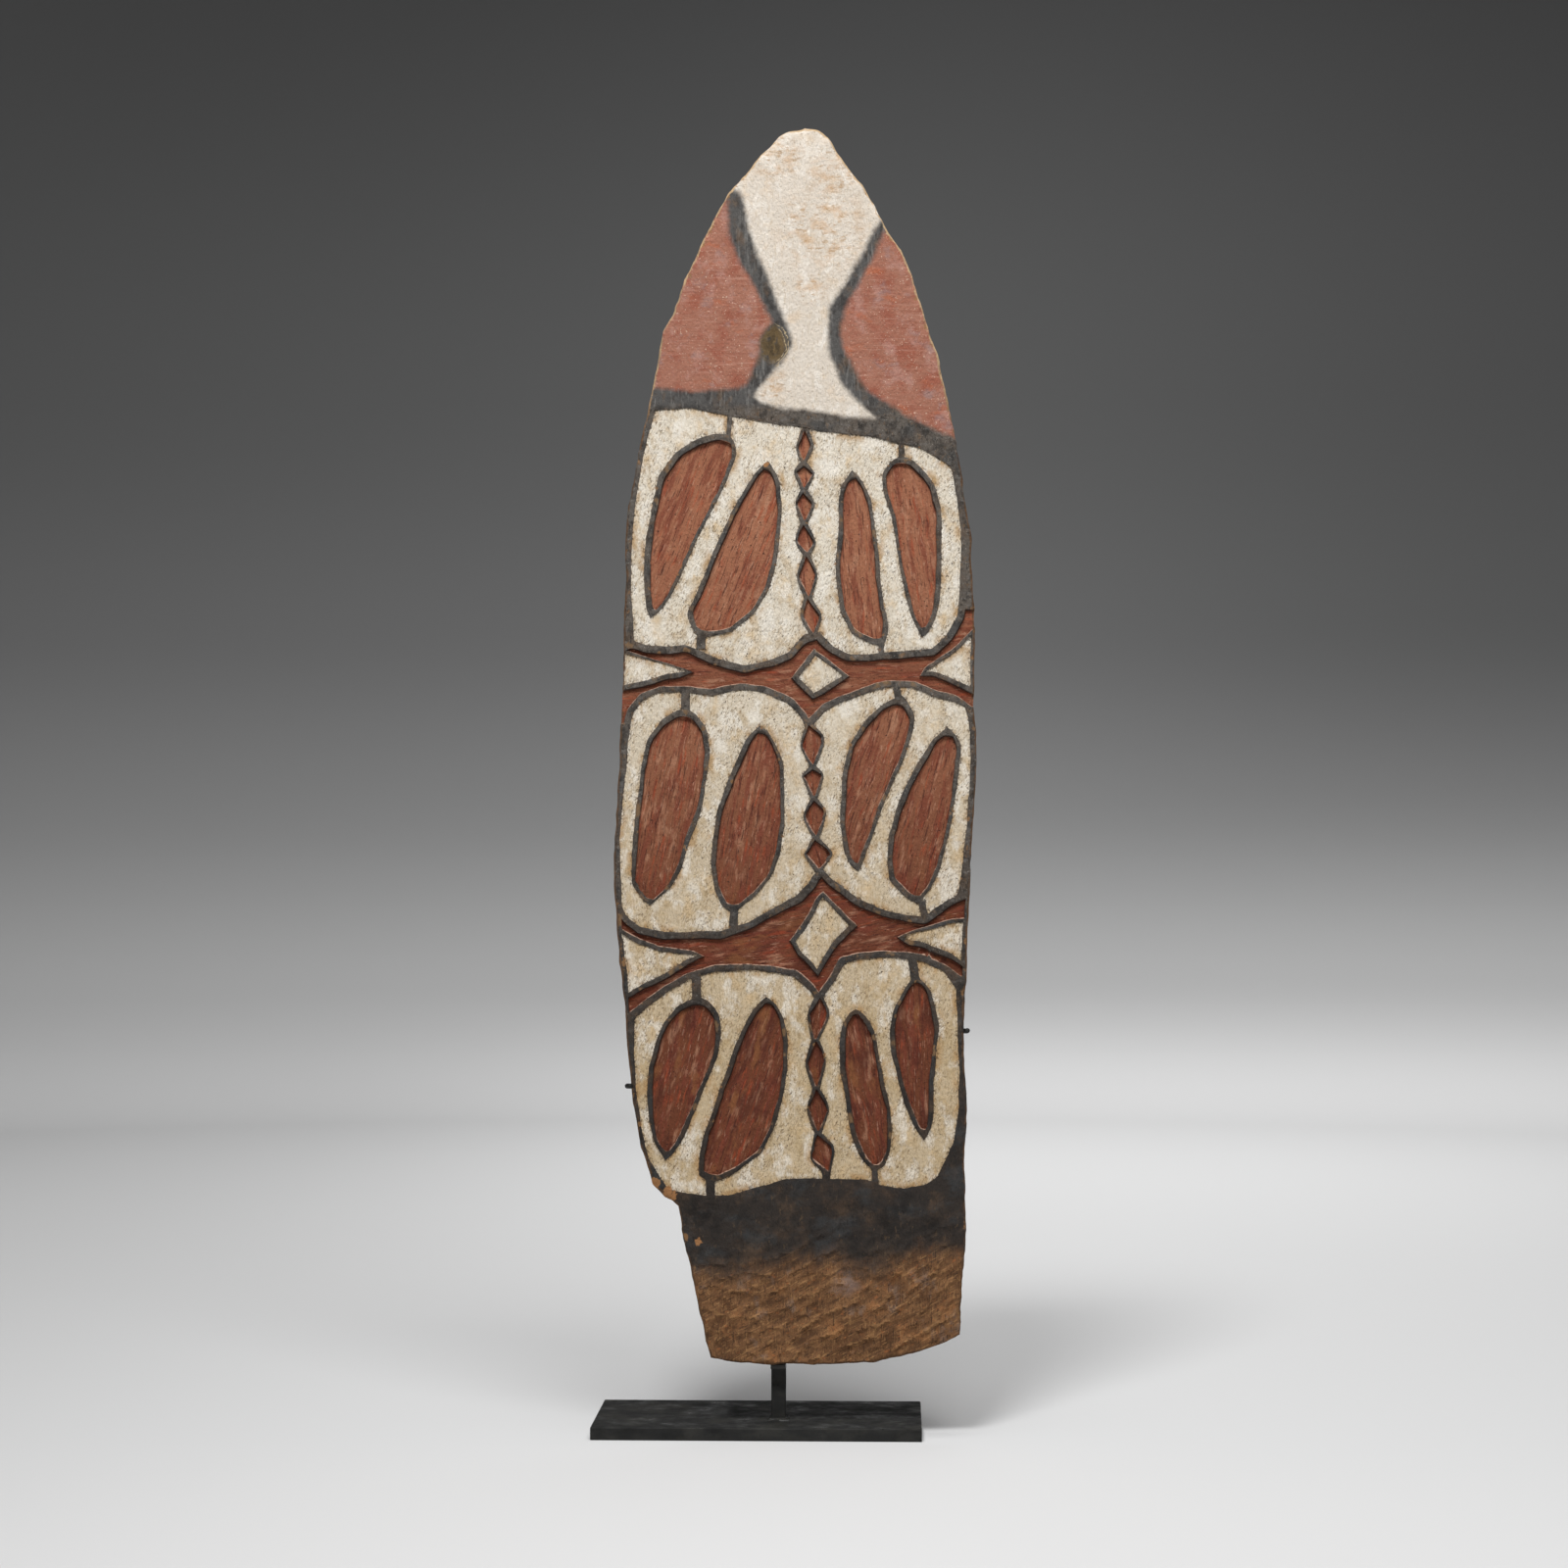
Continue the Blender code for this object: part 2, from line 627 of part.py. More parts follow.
def rounded(corners, radius, steps=5):
    """The path with its inner corners turned on a radius."""
    path = [corners[0]]
    for before, corner, after in zip(corners, corners[1:], corners[2:]):
        back, on = (before - corner).normalized(), (after - corner).normalized()
        half = back.angle(on) / 2
        reach = radius / tan(half)
        centre = corner + (back + on).normalized() * (radius / sin(half))
        start, stop = corner + back * reach - centre, corner + on * reach - centre
        for k in range(steps + 1):
            path.append(centre + start.slerp(stop, k / steps).normalized() * radius)
    return path + [corners[-1]]


def arm(name, height, side, tip_turn, group):
    """From the side of the post, out behind the board and forward round its edge."""
    depth = BOARD_THICK + GAP + POST_SIDE / 2
    near = [edge_at(height + step * ROD / 4, side) for step in range(-4, 5)]
    edge = max(near) if side > 0 else min(near)
    out = edge + side * (GAP + ROD / 2)
    start = -BOARD_RIGHT_OF_POST + side * (POST_SIDE / 2 + GAP)
    corners = [Vector((start, depth, height)), Vector((out, depth, height))]
    if tip_turn:
        corners.append(Vector((out, -ROD / 2 - GAP, height)))
        corners.append(Vector((out - side * tip_turn, -ROD - tip_turn * 0.8, height)))
        path = rounded(corners[:3], ROD_BEND) + [corners[3]]
    else:
        corners.append(Vector((out, RIGHT_TIP_BACK, height)))
        path = rounded(corners, ROD_BEND)
    return rod(name, path, group)


def finish(thing, colour, roughness, metallic):
    material = bpy.data.materials.new(thing.name)
    material.use_nodes = True
    surface = material.node_tree.nodes["Principled BSDF"]
    surface.inputs["Base Color"].default_value = (*colour, 1.0)
    surface.inputs["Roughness"].default_value = roughness
    surface.inputs["Metallic"].default_value = metallic
    thing.data.materials.clear()
    thing.data.materials.append(material)


def build():
    for thing in list(bpy.data.objects):
        bpy.data.objects.remove(thing)
    group = bpy.data.collections.new(NAME)
    cutters = bpy.data.collections.new("cutters")
    for collection in (group, cutters):
        bpy.context.scene.collection.children.link(collection)

    lean = bpy.data.objects.new("lean", None)
    group.objects.link(lean)
    lean.location = Vector((POST_X, POST_Y, PLATE_SIZE[2])) * MM
    lean.rotation_euler = (-LEAN, 0.0, 0.0)

    board = board_blank(group)
    bow = grip(cutters)
    combine(board, bow, 'UNION')
    hide_cutter(bow)
    carve(board, cutters)
    stand_up(board, lean)

    plate = box("stand_plate", (-PLATE_SIZE[0] / 2, -PLATE_SIZE[1] / 2, 0),
                (PLATE_SIZE[0] / 2, PLATE_SIZE[1] / 2, PLATE_SIZE[2]), group)
    bevelled(plate, PLATE_ROUND, 2)
    upright = post(group, cutters, lean)
    left_arm = arm("left_arm", LEFT_ARM_V, -1, LEFT_TIP_TURN, group)
    right_arm = arm("right_arm", RIGHT_ARM_V, 1, 0.0, group)
    for thing in (left_arm, right_arm):
        stand_up(thing, lean)

    finish(board, (0.42, 0.22, 0.12), 0.85, 0.0)
    for thing in (plate, upright, left_arm, right_arm):
        finish(thing, (0.03, 0.03, 0.028), 0.5, 0.7)


build()
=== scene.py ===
"""Carved and painted wooden shield on its steel stand: the cut relief, the finishes and the studio.

The board is worked in its own frame, in millimetres, as its carver saw it lying on its back:
u to the right, v up along the board, depth from the flat front into the wood.
"""
from math import ceil, cos, pi, radians, sin
import bpy
import bmesh
import numpy as np
from mathutils import Matrix, Vector
from mathutils.bvhtree import BVHTree
from mathutils.geometry import delaunay_2d_cdt
from mathutils.kdtree import KDTree


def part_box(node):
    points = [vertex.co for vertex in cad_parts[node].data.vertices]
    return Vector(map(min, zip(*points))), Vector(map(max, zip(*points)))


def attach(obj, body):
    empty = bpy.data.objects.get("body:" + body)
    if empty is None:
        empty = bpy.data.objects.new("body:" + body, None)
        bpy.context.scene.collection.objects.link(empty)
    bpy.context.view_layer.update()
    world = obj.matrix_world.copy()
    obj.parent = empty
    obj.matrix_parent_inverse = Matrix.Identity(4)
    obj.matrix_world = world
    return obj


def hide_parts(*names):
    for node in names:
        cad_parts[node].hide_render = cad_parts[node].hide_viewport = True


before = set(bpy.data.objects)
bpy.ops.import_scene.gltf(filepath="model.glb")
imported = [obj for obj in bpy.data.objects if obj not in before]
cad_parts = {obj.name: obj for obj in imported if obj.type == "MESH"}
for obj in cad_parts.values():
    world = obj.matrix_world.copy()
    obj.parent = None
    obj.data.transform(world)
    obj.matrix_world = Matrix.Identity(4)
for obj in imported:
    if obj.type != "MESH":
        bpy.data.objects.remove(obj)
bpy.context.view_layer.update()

MM = 0.001

# where the board hangs: the post's foot on the plate, the lean, and the board's origin above it
LEAN = radians(4.0)
POST_FOOT = Vector((26.0, -40.5, 16.0)) * MM
BOARD_FROM_FOOT = Vector((25.7, -34.3, 70.5)) * MM
LEANING = Matrix.Translation(POST_FOOT) @ Matrix.Rotation(-LEAN, 4, 'X')
BOARD_PLACE = LEANING @ Matrix.Translation(BOARD_FROM_FOOT)

# depths of the carving and of the worn edge, and the plank's thickness, in mm
GROUND_DEPTH, POCKET_DEPTH = 2.0, 5.0
EDGE_CUT, BOARD_THICK = 2.5, 25.0

# how closely the surfaces are netted with points
SEAM_STEP, EDGE_STEP, BACK_STEP, GRIP_STEP = 2.4, 3.0, 8.6, 5.0
RIDGE_STEP, POCKET_STEP, GROUND_STEP, FOOT_STEP, CROWN_STEP = 2.4, 2.4, 3.6, 3.0, 4.8
CARVED_LOW, CARVED_HIGH = 200.0, 1200.0
# loose points stay this share of a step clear of a border, and a seam flatter than this is none
CLEAR = 0.62
FLUSH_WALL, FLUSH_BACK = radians(3.0), radians(0.4)

# kinds of surface on the board
FRONT, GROUND, POCKET, WALL, SIDE, SLOPE, FLAT_BACK, GRIP = range(8)
LEVEL = (FRONT, GROUND, POCKET, FLAT_BACK)


def face_kind(face):
    """Which part of the carving a face of the solid belongs to."""
    depths = [vert.co.y for vert in face.verts]
    if max(depths) > BOARD_THICK + 0.05:
        return GRIP
    if min(depths) > EDGE_CUT - 0.05 and max(depths) > POCKET_DEPTH + 0.1:
        if face.normal.y < 0.05:
            return SIDE
        return FLAT_BACK if min(depths) > BOARD_THICK - 0.05 else SLOPE
    if face.normal.y > -0.99:
        return WALL
    if max(depths) < 0.1:
        return FRONT
    return GROUND if max(depths) < GROUND_DEPTH + 0.1 else POCKET


def solid_board():
    """The board's solid in its own frame in millimetres, its faces marked with their kind."""
    bm = bmesh.new()
    bm.from_mesh(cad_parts["shield_board"].data)
    bmesh.ops.remove_doubles(bm, verts=bm.verts, dist=1e-6)
    bm.transform(Matrix.Scale(1 / MM, 4) @ BOARD_PLACE.inverted())
    bm.normal_update()
    for face in bm.faces:
        face.material_index = face_kind(face)
    bmesh.ops.dissolve_edges(bm, edges=[edge for edge in bm.edges if lies_flush(edge)])
    bm.normal_update()
    return bm


def lies_flush(edge):
    """Whether an edge only halves one straight stretch of wall, side or back."""
    kinds = {face.material_index for face in edge.link_faces}
    if len(kinds) > 1 or kinds & set(LEVEL):
        return False
    return edge.calc_face_angle(0.0) < (FLUSH_WALL if WALL in kinds else FLUSH_BACK)


def seam_step(edge):
    """The spacing of points along a seam of the solid, or None inside one level surface."""
    kinds = {face.material_index for face in edge.link_faces}
    if len(kinds) == 1 and kinds & set(LEVEL):
        return None
    if SIDE in kinds:
        return EDGE_STEP
    if kinds & {FRONT, GROUND, POCKET, WALL}:
        return SEAM_STEP
    return GRIP_STEP if GRIP in kinds else BACK_STEP


def split_seams(bm):
    """Points along every seam of the solid; returns the pieces that the seams are now made of."""
    pieces = []
    for edge, step in [(edge, seam_step(edge)) for edge in bm.edges]:
        if step is None:
            continue
        count = max(1, round(edge.calc_length() / step))
        start, rest = edge.verts[0], edge
        for left in range(count, 1, -1):
            made, vert = bmesh.utils.edge_split(rest, start, 1 / left)
            pieces.append(made)
            start = vert
            rest = next(e for e in vert.link_edges if e is not made)
        pieces.append(rest)
    bm.verts.index_update()
    bm.faces.index_update()
    return pieces


def inside(faces, borders):
    """The triangles that lie within the borders, found by walking in from outside."""
    beside = {}
    for number, face in enumerate(faces):
        for side in zip(face, face[1:] + face[:1]):
            beside.setdefault((min(side), max(side)), []).append(number)
    within = {}
    walk = [(owners[0], side in borders) for side, owners in beside.items() if len(owners) == 1]
    for number, state in walk:
        within.setdefault(number, state)
    queue = list(within)
    while queue:
        number = queue.pop()
        face = faces[number]
        for side in zip(face, face[1:] + face[:1]):
            side = (min(side), max(side))
            for other in beside[side]:
                if other not in within:
                    within[other] = within[number] != (side in borders)
                    queue.append(other)
    return [faces[number] for number in sorted(within) if within[number]]


def tree_of(spots):
    """A tree that finds the nearest of some spots, all seen from the front."""
    tree = KDTree(len(spots))
    for k, (u, v) in enumerate(spots):
        tree.insert((u, v, 0.0), k)
    tree.balance()
    return tree


def lattice(low, high, step, seed):
    """Loose points in staggered rows over a rectangle, each a little out of line."""
    rng = np.random.default_rng(seed)
    rise = step * 3 ** 0.5 / 2
    rows, columns = ceil((high[1] - low[1]) / rise), ceil((high[0] - low[0]) / step)
    row, column = np.mgrid[0:rows, 0:columns]
    x = low[0] + (column + 0.5 * (row % 2)) * step
    y = low[1] + row * rise
    spots = np.stack([x.ravel(), y.ravel()], axis=1)
    return spots + rng.uniform(-0.2, 0.2, spots.shape) * step


def loose_points(rim, step, seed, wanted=None):
    """Points for the open part of a surface, clear of its rim."""
    low = [min(spot[k] for spot in rim) for k in (0, 1)]
    high = [max(spot[k] for spot in rim) for k in (0, 1)]
    if min(high[0] - low[0], high[1] - low[1]) < step:
        return []
    near = tree_of(rim)
    return [Vector((x, y)) for x, y in lattice(low, high, step, seed).tolist()
            if near.find((x, y, 0.0))[2] > CLEAR * step and (wanted is None or wanted(x, y))]


class Net:
    """The board's skin as it grows: points in millimetres and triangles with their kind."""

    def __init__(self, bm):
        self.points = [vert.co.copy() for vert in bm.verts]
        self.triangles = []
        self.kinds = []

    def weave(self, kind, seams, down, up, loose):
        """Fill the area that the seams enclose, seen flat; down and up lead there and back."""
        verts = sorted({index for seam in seams for index in seam})
        place = {index: k for k, index in enumerate(verts)}
        flat = [down(self.points[index]) for index in verts]
        flat += loose(flat)
        lines = [(place[a], place[b]) for a, b in seams]
        spots, edges, faces, came, drawn, _ = delaunay_2d_cdt(flat, lines, [], 0, 1e-5, True)
        borders = {(min(edge), max(edge)) for edge, line in zip(edges, drawn) if line}
        used = {}
        for face in inside(faces, borders):
            for k in face:
                if k not in used:
                    old = min(came[k], default=len(verts))
                    if old < len(verts):
                        used[k] = verts[old]
                    else:
                        used[k] = len(self.points)
                        self.points.append(up(spots[k]))
            self.triangles.append([used[k] for k in face])
            self.kinds.append(kind)


def weave_level(net, bm, pieces, kind, depth, steps):
    """All surfaces of one kind that lie level at one depth of the carving."""
    facing = 1.0 if kind == FLAT_BACK else -1.0
    shown = [edge for edge in pieces
             if sum(face.material_index == kind for face in edge.link_faces) == 1]
    seams = [tuple(vert.index for vert in edge.verts) for edge in shown]
    here = [face for face in bm.faces if face.material_index == kind]
    tree = BVHTree.FromPolygons([vert.co for vert in bm.verts],
                                [[vert.index for vert in face.verts] for face in here])

    def over(x, y):
        return tree.ray_cast(Vector((-facing * x, depth - 1.0, y)), Vector((0.0, 1.0, 0.0)), 2.0)[0]

    def loose(rim):
        found = []
        for k, (step, low, high) in enumerate(steps):
            found += loose_points(rim, step, kind * 10 + k, lambda x, y: low < y < high and over(x, y))
        return found

    net.weave(kind, seams, lambda p: Vector((-facing * p.x, p.z)),
              lambda s: Vector((-facing * s.x, depth, s.y)), loose)


def weave_facet(net, face):
    """One slanting face, seen along its own normal."""
    kind = face.material_index
    step = {WALL: 99.0, SIDE: EDGE_STEP, SLOPE: BACK_STEP, GRIP: GRIP_STEP}[kind]
    origin = face.verts[0].co.copy()
    longest = max((edge.verts[1].co - edge.verts[0].co for edge in face.edges),
                  key=lambda side: side.length)
    across = (longest - face.normal * longest.dot(face.normal)).normalized()
    along = face.normal.cross(across)
    verts = [vert.index for vert in face.verts]
    net.weave(kind, list(zip(verts, verts[1:] + verts[:1])),
              lambda p: Vector(((p - origin).dot(across), (p - origin).dot(along))),
              lambda s: origin + across * s.x + along * s.y,
              lambda rim: loose_points(rim, step, face.index))


def board_net():
    """The whole board as one closed net: points, triangles and the kind of each triangle."""
    bm = solid_board()
    pieces = split_seams(bm)
    net = Net(bm)
    far = 10000.0
    weave_level(net, bm, pieces, POCKET, POCKET_DEPTH, [(POCKET_STEP, -far, far)])
    weave_level(net, bm, pieces, GROUND, GROUND_DEPTH, [(GROUND_STEP, -far, far)])
    weave_level(net, bm, pieces, FRONT, 0.0, [(RIDGE_STEP, CARVED_LOW, CARVED_HIGH),
                                              (FOOT_STEP, -far, CARVED_LOW),
                                              (CROWN_STEP, CARVED_HIGH, far)])
    weave_level(net, bm, pieces, FLAT_BACK, BOARD_THICK, [(BACK_STEP, -far, far)])
    for face in bm.faces:
        if face.material_index not in LEVEL:
            weave_facet(net, face)
    bm.free()
    return np.array(net.points), np.array(net.triangles), np.array(net.kinds)


# the painted fields on the flat top of the board, each closed beyond the board's edge
WHITE_FIELD = (
    (-94, 1485), (-75, 1470), (-63, 1419), (-47, 1377), (-30, 1332), (-18, 1304), (-11, 1280),
    (-19, 1257), (-32, 1242), (-47, 1225), (-59, 1212), (-52, 1202), (-30, 1196), (1, 1195),
    (26, 1190), (56, 1182), (93, 1181), (75, 1202), (51, 1229), (36, 1262), (36, 1294), (38, 1324),
    (51, 1349), (65, 1372), (78, 1394), (90, 1416), (102, 1434), (150, 1500), (10, 1640),
    (-130, 1530))
RED_FIELDS = (
    ((-99, 1468), (-93, 1465), (-90, 1417), (-75, 1383), (-62, 1357), (-47, 1327), (-36, 1307),
     (-52, 1287), (-53, 1262), (-60, 1242), (-67, 1227), (-84, 1221), (-133, 1217), (-180, 1221),
     (-260, 1221), (-130, 1480)),
    ((113, 1426), (107, 1421), (90, 1387), (73, 1357), (58, 1324), (52, 1292), (58, 1262),
     (73, 1234), (90, 1214), (112, 1199), (136, 1184), (156, 1175), (180, 1162), (199, 1157),
     (260, 1120), (150, 1440)))
# how the hand-cut shapes part from the plain ones, in mm: places in u and v, and what they move by
CROWN_SHOULDERS = ((-20.0, 14.0, 6.0), (23.0, 13.0, 6.0))
FLOOR_SHIFTS = ((-139, 1047, 1.7, -1.6), (147, 1017, -1.3, -1.1), (-162, 690, -0.5, -0.5),
                (-63, 679, 0.5, -0.4), (156, 682, 0.5, -0.3), (-143, 349, -0.5, -0.8),
                (-65, 338, 0.2, -0.5), (84, 335, 0.1, 1.3))
FLOOR_NEAR, BESIDE_FLOOR = 30.0, 9.0
# which sunk floors count as diamonds, leaves and bands, and how far each kind is opened, by shares of
# its own width and height for a diamond and in mm for a leaf and its pointed ends
DIAMOND_WIDE, DIAMOND_LONG, DIAMOND_WIDEN = 24.0, 70.0, (0.58, 0.1)
LEAF_WIDE, LEAF_WIDEN, LEAF_FULL = 140.0, 1.4, 0.7
TIP_LONG, TIP_WIDE, TIP_REACH = 9.0, 21.0, 4.0
BAND_WIDTH = 200.0
# the middle line of the lower band's floor at its right end, how far its two sides part there, and
# the stretch without a floor, from and to in u with half its breadth, that is painted as one
BAND_END = ((112, 520), (130, 514), (140, 509.4), (150, 507), (157, 505.2), (165, 501.9), (202, 485.7),
            (212, 481.3))
BAND_END_OPEN = 6.5
BAND_GROOVE, GROOVE_SUNK = (155, 168, 0.9), 1.5
# where these moves begin and are full, as distances in from a floor's border and from the rim
DIAMOND_FADE, SHIFT_FADE, TIP_FADE, RIM_FADE = (-8.5, -0.2), (-5.4, -0.4), (-8.5, -0.8), (1.5, 7.0)
# a level triangle that keeps less than this share of its area has its moves lessened, round by round
HELD_AREA, HELD_SHARE, HOLD_ROUNDS = 0.2, 0.7, 24
# how far in from the rim no outline is eased, and the distance noted for what lies behind
RIM_HELD, FAR_BEHIND = 5.0, 60.0

# the blades: length and width in mm of one cut, its seed, and how far it ends in a step
GOUGE, PARING_BLADE = (46.0, 6.5, 3, -0.1), (26.0, 12.0, 4, -0.2)
ADZE, STEEP_ADZE = (13.0, 27.0, 8, -0.42), (22.0, 34.0, 19, -0.3)
CROWN_BLADE, BACK_BLADE = (60.0, 22.0, 9), (60.0, 28.0, 10, 0.12)
# how hollow a scoop is, what the cuts come to on average, and how strongly each blade's cuts are made
SCOOP, MEAN_CUT = 2.2, 0.6
GOUGE_DEPTH, PARING_DEPTH, ADZE_DEPTH, STEEP_ADZE_DEPTH = 0.62, 0.5, 1.9, 1.0
CROWN_CUT_DEPTH, BACK_CUT_DEPTH = 0.7, 1.6
# an outline that turns by less than this at a point was cut in one stroke, and is eased there
BLUNT, EASING_ROUNDS, FOLLOWING_ROUNDS = radians(50.0), 4, 30
# losses along ridges and rim: how many, smallest and widest, shallowest and deepest in mm, and the seed
RIDGE_CHIPS, RIM_CHIPS = (420, (2.0, 5.5), (0.3, 1.1), 16), (150, (4.0, 10.0), (0.5, 1.6), 20)
RIDGE_EDGE, RIM_EDGE = 0.5, 3.5
# half sizes and middle height of the board, which give the way in from its rim
HALF_WIDTH, MIDDLE_HEIGHT, HALF_HEIGHT = 225.0, 760.0, 800.0
# the heights over which the adzed foot ends and the hewn crown begins
FOOT_EDGE, CROWN_EDGE = (190.0, 203.0), (1195.0, 1230.0)
# edges that turn by more than this stay crisp
BOARD_CREASE, STEEL_CREASE = radians(42.0), radians(50.0)

# marks in the wood and on the crown: the knot, and round stains by place and radius
KNOT = (-35.0, 1276.0)
KNOT_SIZE = (17.0, 24.0)
STAINED_SPOTS = ((28, 1425, 74), (44, 1500, 46), (-30, 1520, 46), (12, 1350, 30), (-34, 1222, 30))
# how far painted outlines sway in mm, how dark a leaf may be washed, and how far apart the streaks
# of one floor and the next are laid out
PAINT_SWAY, LEAF_WASH, FLOORS_APART = 2.2, (0.0, 0.55), 37.0

# where the charcoal at the foot gives way to bare adzed wood, what was smeared around there, and
# where the wood broke lately; a spot is a place and a radius
BARE_LINE = ((-260, 108), (-67, 110), (-18, 124), (42, 130), (78, 112), (103, 118), (151, 138),
             (260, 132))
SOOTY_SPOTS = ((124, 195, 26), (109, 175, 18), (163, 171, 22), (-120, 186, 30))
GREY_PINK_SPOTS = ((60, 101, 24),)
FRESH_SPOTS = ((-43, 1123, 5), (-179, 221, 9), (-160, 207, 12), (-125, 150, 6))
# how far the marks of the adze and the scratches in the lime lean
ADZE_TURN, SPECK_TURN = radians(-62.0), radians(-28.0)

# the stand: bar stock, bends and weld, in mm
ROD, ROD_BEND, END_SOFT = 6.35, 9.0, 0.5
POST_SIDE, GAP = 18.0, 0.3
POST_DEPTH = BOARD_THICK + GAP + POST_SIDE / 2
BOARD_ORIGIN_X = BOARD_PLACE.translation.x / MM
LEFT_ARM_HEIGHT, RIGHT_ARM_HEIGHT = 341.0, 410.5
LEFT_TIP, RIGHT_TIP = (-3.475, 6.0, 7.675), (1.0,)
WELD_OUT, WELD_THICK, WELD_RISE, WELD_STEP = 1.8, 2.6, 1.4, 1.2
WELD_TURN, WELD_LUMPS = WELD_OUT * 0.7, (0.75, 1.15)
BAR_SIDES, WELD_SIDES, BEND_STEPS = 20, 10, 10

# the swells are laid out from this far outside the board's origin, in mm
FIELD_START = 3000.0


def field(u, v, size, seed):
    """A smooth random swell between -1 and 1, with hills about this size apart."""
    rng = np.random.default_rng(seed)
    x, y = (np.asarray(u) + FIELD_START) / size, (np.asarray(v) + FIELD_START) / size
    column, row = np.floor(x).astype(int), np.floor(y).astype(int)
    s, t = x - column, y - row
    s, t = s * s * (3 - 2 * s), t * t * (3 - 2 * t)
    hills = rng.uniform(-1, 1, (row.max() - row.min() + 2, column.max() - column.min() + 2))
    column, row = column - column.min(), row - row.min()
    low = hills[row, column] * (1 - s) + hills[row, column + 1] * s
    high = hills[row + 1, column] * (1 - s) + hills[row + 1, column + 1] * s
    return low * (1 - t) + high * t


def swells(u, v, *hills):
    """Random swells added up, each given by its height, the size of its hills and its seed."""
    return sum(height * field(u, v, size, seed) for height, size, seed in hills)


def ramp(value, low, high):
    """0 below low, 1 above high, and smooth between."""
    share = np.clip((np.asarray(value) - low) / (high - low), 0, 1)
    return share * share * (3 - 2 * share)


def near_spots(u, v, spots, core=0.0):
    """1 in the core of the nearest round spot and 0 from its edge on; the core is a share of it."""
    return np.max([ramp(-np.hypot(u - a, v - b), -r, -r * core) for a, b, r in spots], axis=0)


def tool_cuts(along, across, length, width, seed, slant=0.0):
    """Overlapping scoops of a blade: about 0 in the middle of a cut and 1 at the crests.

    With a slant each scoop runs out against a small step, like shingles.
    """
    rng = np.random.default_rng(seed)
    row, column = np.floor(along / length).astype(int), np.floor(across / width).astype(int)
    row0, column0 = row.min() - 1, column.min() - 1
    shape = (row.max() - row0 + 2, column.max() - column0 + 2)
    shift = rng.uniform(0.1, 0.9, (2, *shape))
    turn = rng.uniform(-0.25, 0.25, shape)
    sunk = rng.uniform(0.0, 0.35, shape)
    best = np.full(np.shape(along), 9.0)
    place = np.zeros(np.shape(along))
    for down in (-1, 0, 1):
        for side in (-1, 0, 1):
            key = (row + down - row0, column + side - column0)
            a = along / length - (row + down) - shift[0][key]
            b = across / width - (column + side) - shift[1][key] + turn[key] * a
            depth = a * a + b * b + sunk[key]
            place = np.where(depth < best, a, place)
            best = np.minimum(best, depth)
    return SCOOP * (best - best.min() + slant * place)


def sides_of(triangles, kinds):
    """Every edge of the closed net once, with the kinds of the two triangles beside it."""
    sides = np.concatenate([triangles[:, [0, 1]], triangles[:, [1, 2]], triangles[:, [2, 0]]])
    sides = np.sort(sides, axis=1)
    order = np.lexsort((sides[:, 1], sides[:, 0]))
    first, second = order[0::2], order[1::2]
    owner = np.tile(kinds, 3)
    return sides[first], np.sort(np.stack([owner[first], owner[second]], axis=1), axis=1)


def eased_outlines(points, sides, pairs, held):
    """How far each point moves when a hand-led blade rounds the blunt corners of the outlines.

    Sharp tips stay, and what lies between the outlines follows them.
    """
    count = len(points)
    flat = points[:, [0, 2]]
    beside = [[] for _ in range(count)]
    for a, b in sides[(pairs[:, 1] == WALL) & (pairs[:, 0] != WALL)].tolist():
        beside[a].append(b)
        beside[b].append(a)
    on_seam = np.array([len(near) > 0 for near in beside])
    free = np.array([k for k in range(count) if len(beside[k]) == 2 and not held[k]])
    before, after = np.array([beside[k] for k in free]).T
    come, go = flat[free] - flat[before], flat[after] - flat[free]
    turn = np.abs(np.arctan2(come[:, 0] * go[:, 1] - come[:, 1] * go[:, 0], (come * go).sum(axis=1)))
    blunt = turn < BLUNT
    free, before, after = free[blunt], before[blunt], after[blunt]
    eased = flat.copy()
    for _ in range(EASING_ROUNDS):
        eased[free] += 0.5 * ((eased[before] + eased[after]) / 2 - eased[free])
    moved = eased - flat
    fixed = on_seam | held
    near = np.bincount(sides.ravel(), minlength=count)
    for _ in range(FOLLOWING_ROUNDS):
        for axis in (0, 1):
            drawn = (np.bincount(sides[:, 0], moved[sides[:, 1], axis], count)
                     + np.bincount(sides[:, 1], moved[sides[:, 0], axis], count)) / near
            moved[:, axis] = np.where(fixed, moved[:, axis], drawn)
    return moved


def reach(points, spots):
    """How far each point is from the nearest of the spots, seen from the front."""
    tree = tree_of(spots.tolist())
    return np.array([tree.find((u, v, 0.0))[2] for u, v in points[:, [0, 2]].tolist()])


def turned_area(flat, triangles):
    """Twice the area of each triangle seen flat, with a sign that turns when it folds over."""
    a, b, c = [flat[triangles[:, k]] for k in range(3)]
    return (b - a)[:, 0] * (c - a)[:, 1] - (b - a)[:, 1] * (c - a)[:, 0]


def longest_way(spread):
    """The direction in which a group of points, given from its middle, is drawn out most."""
    return np.linalg.eigh(np.cov(spread.T))[1][:, 1]


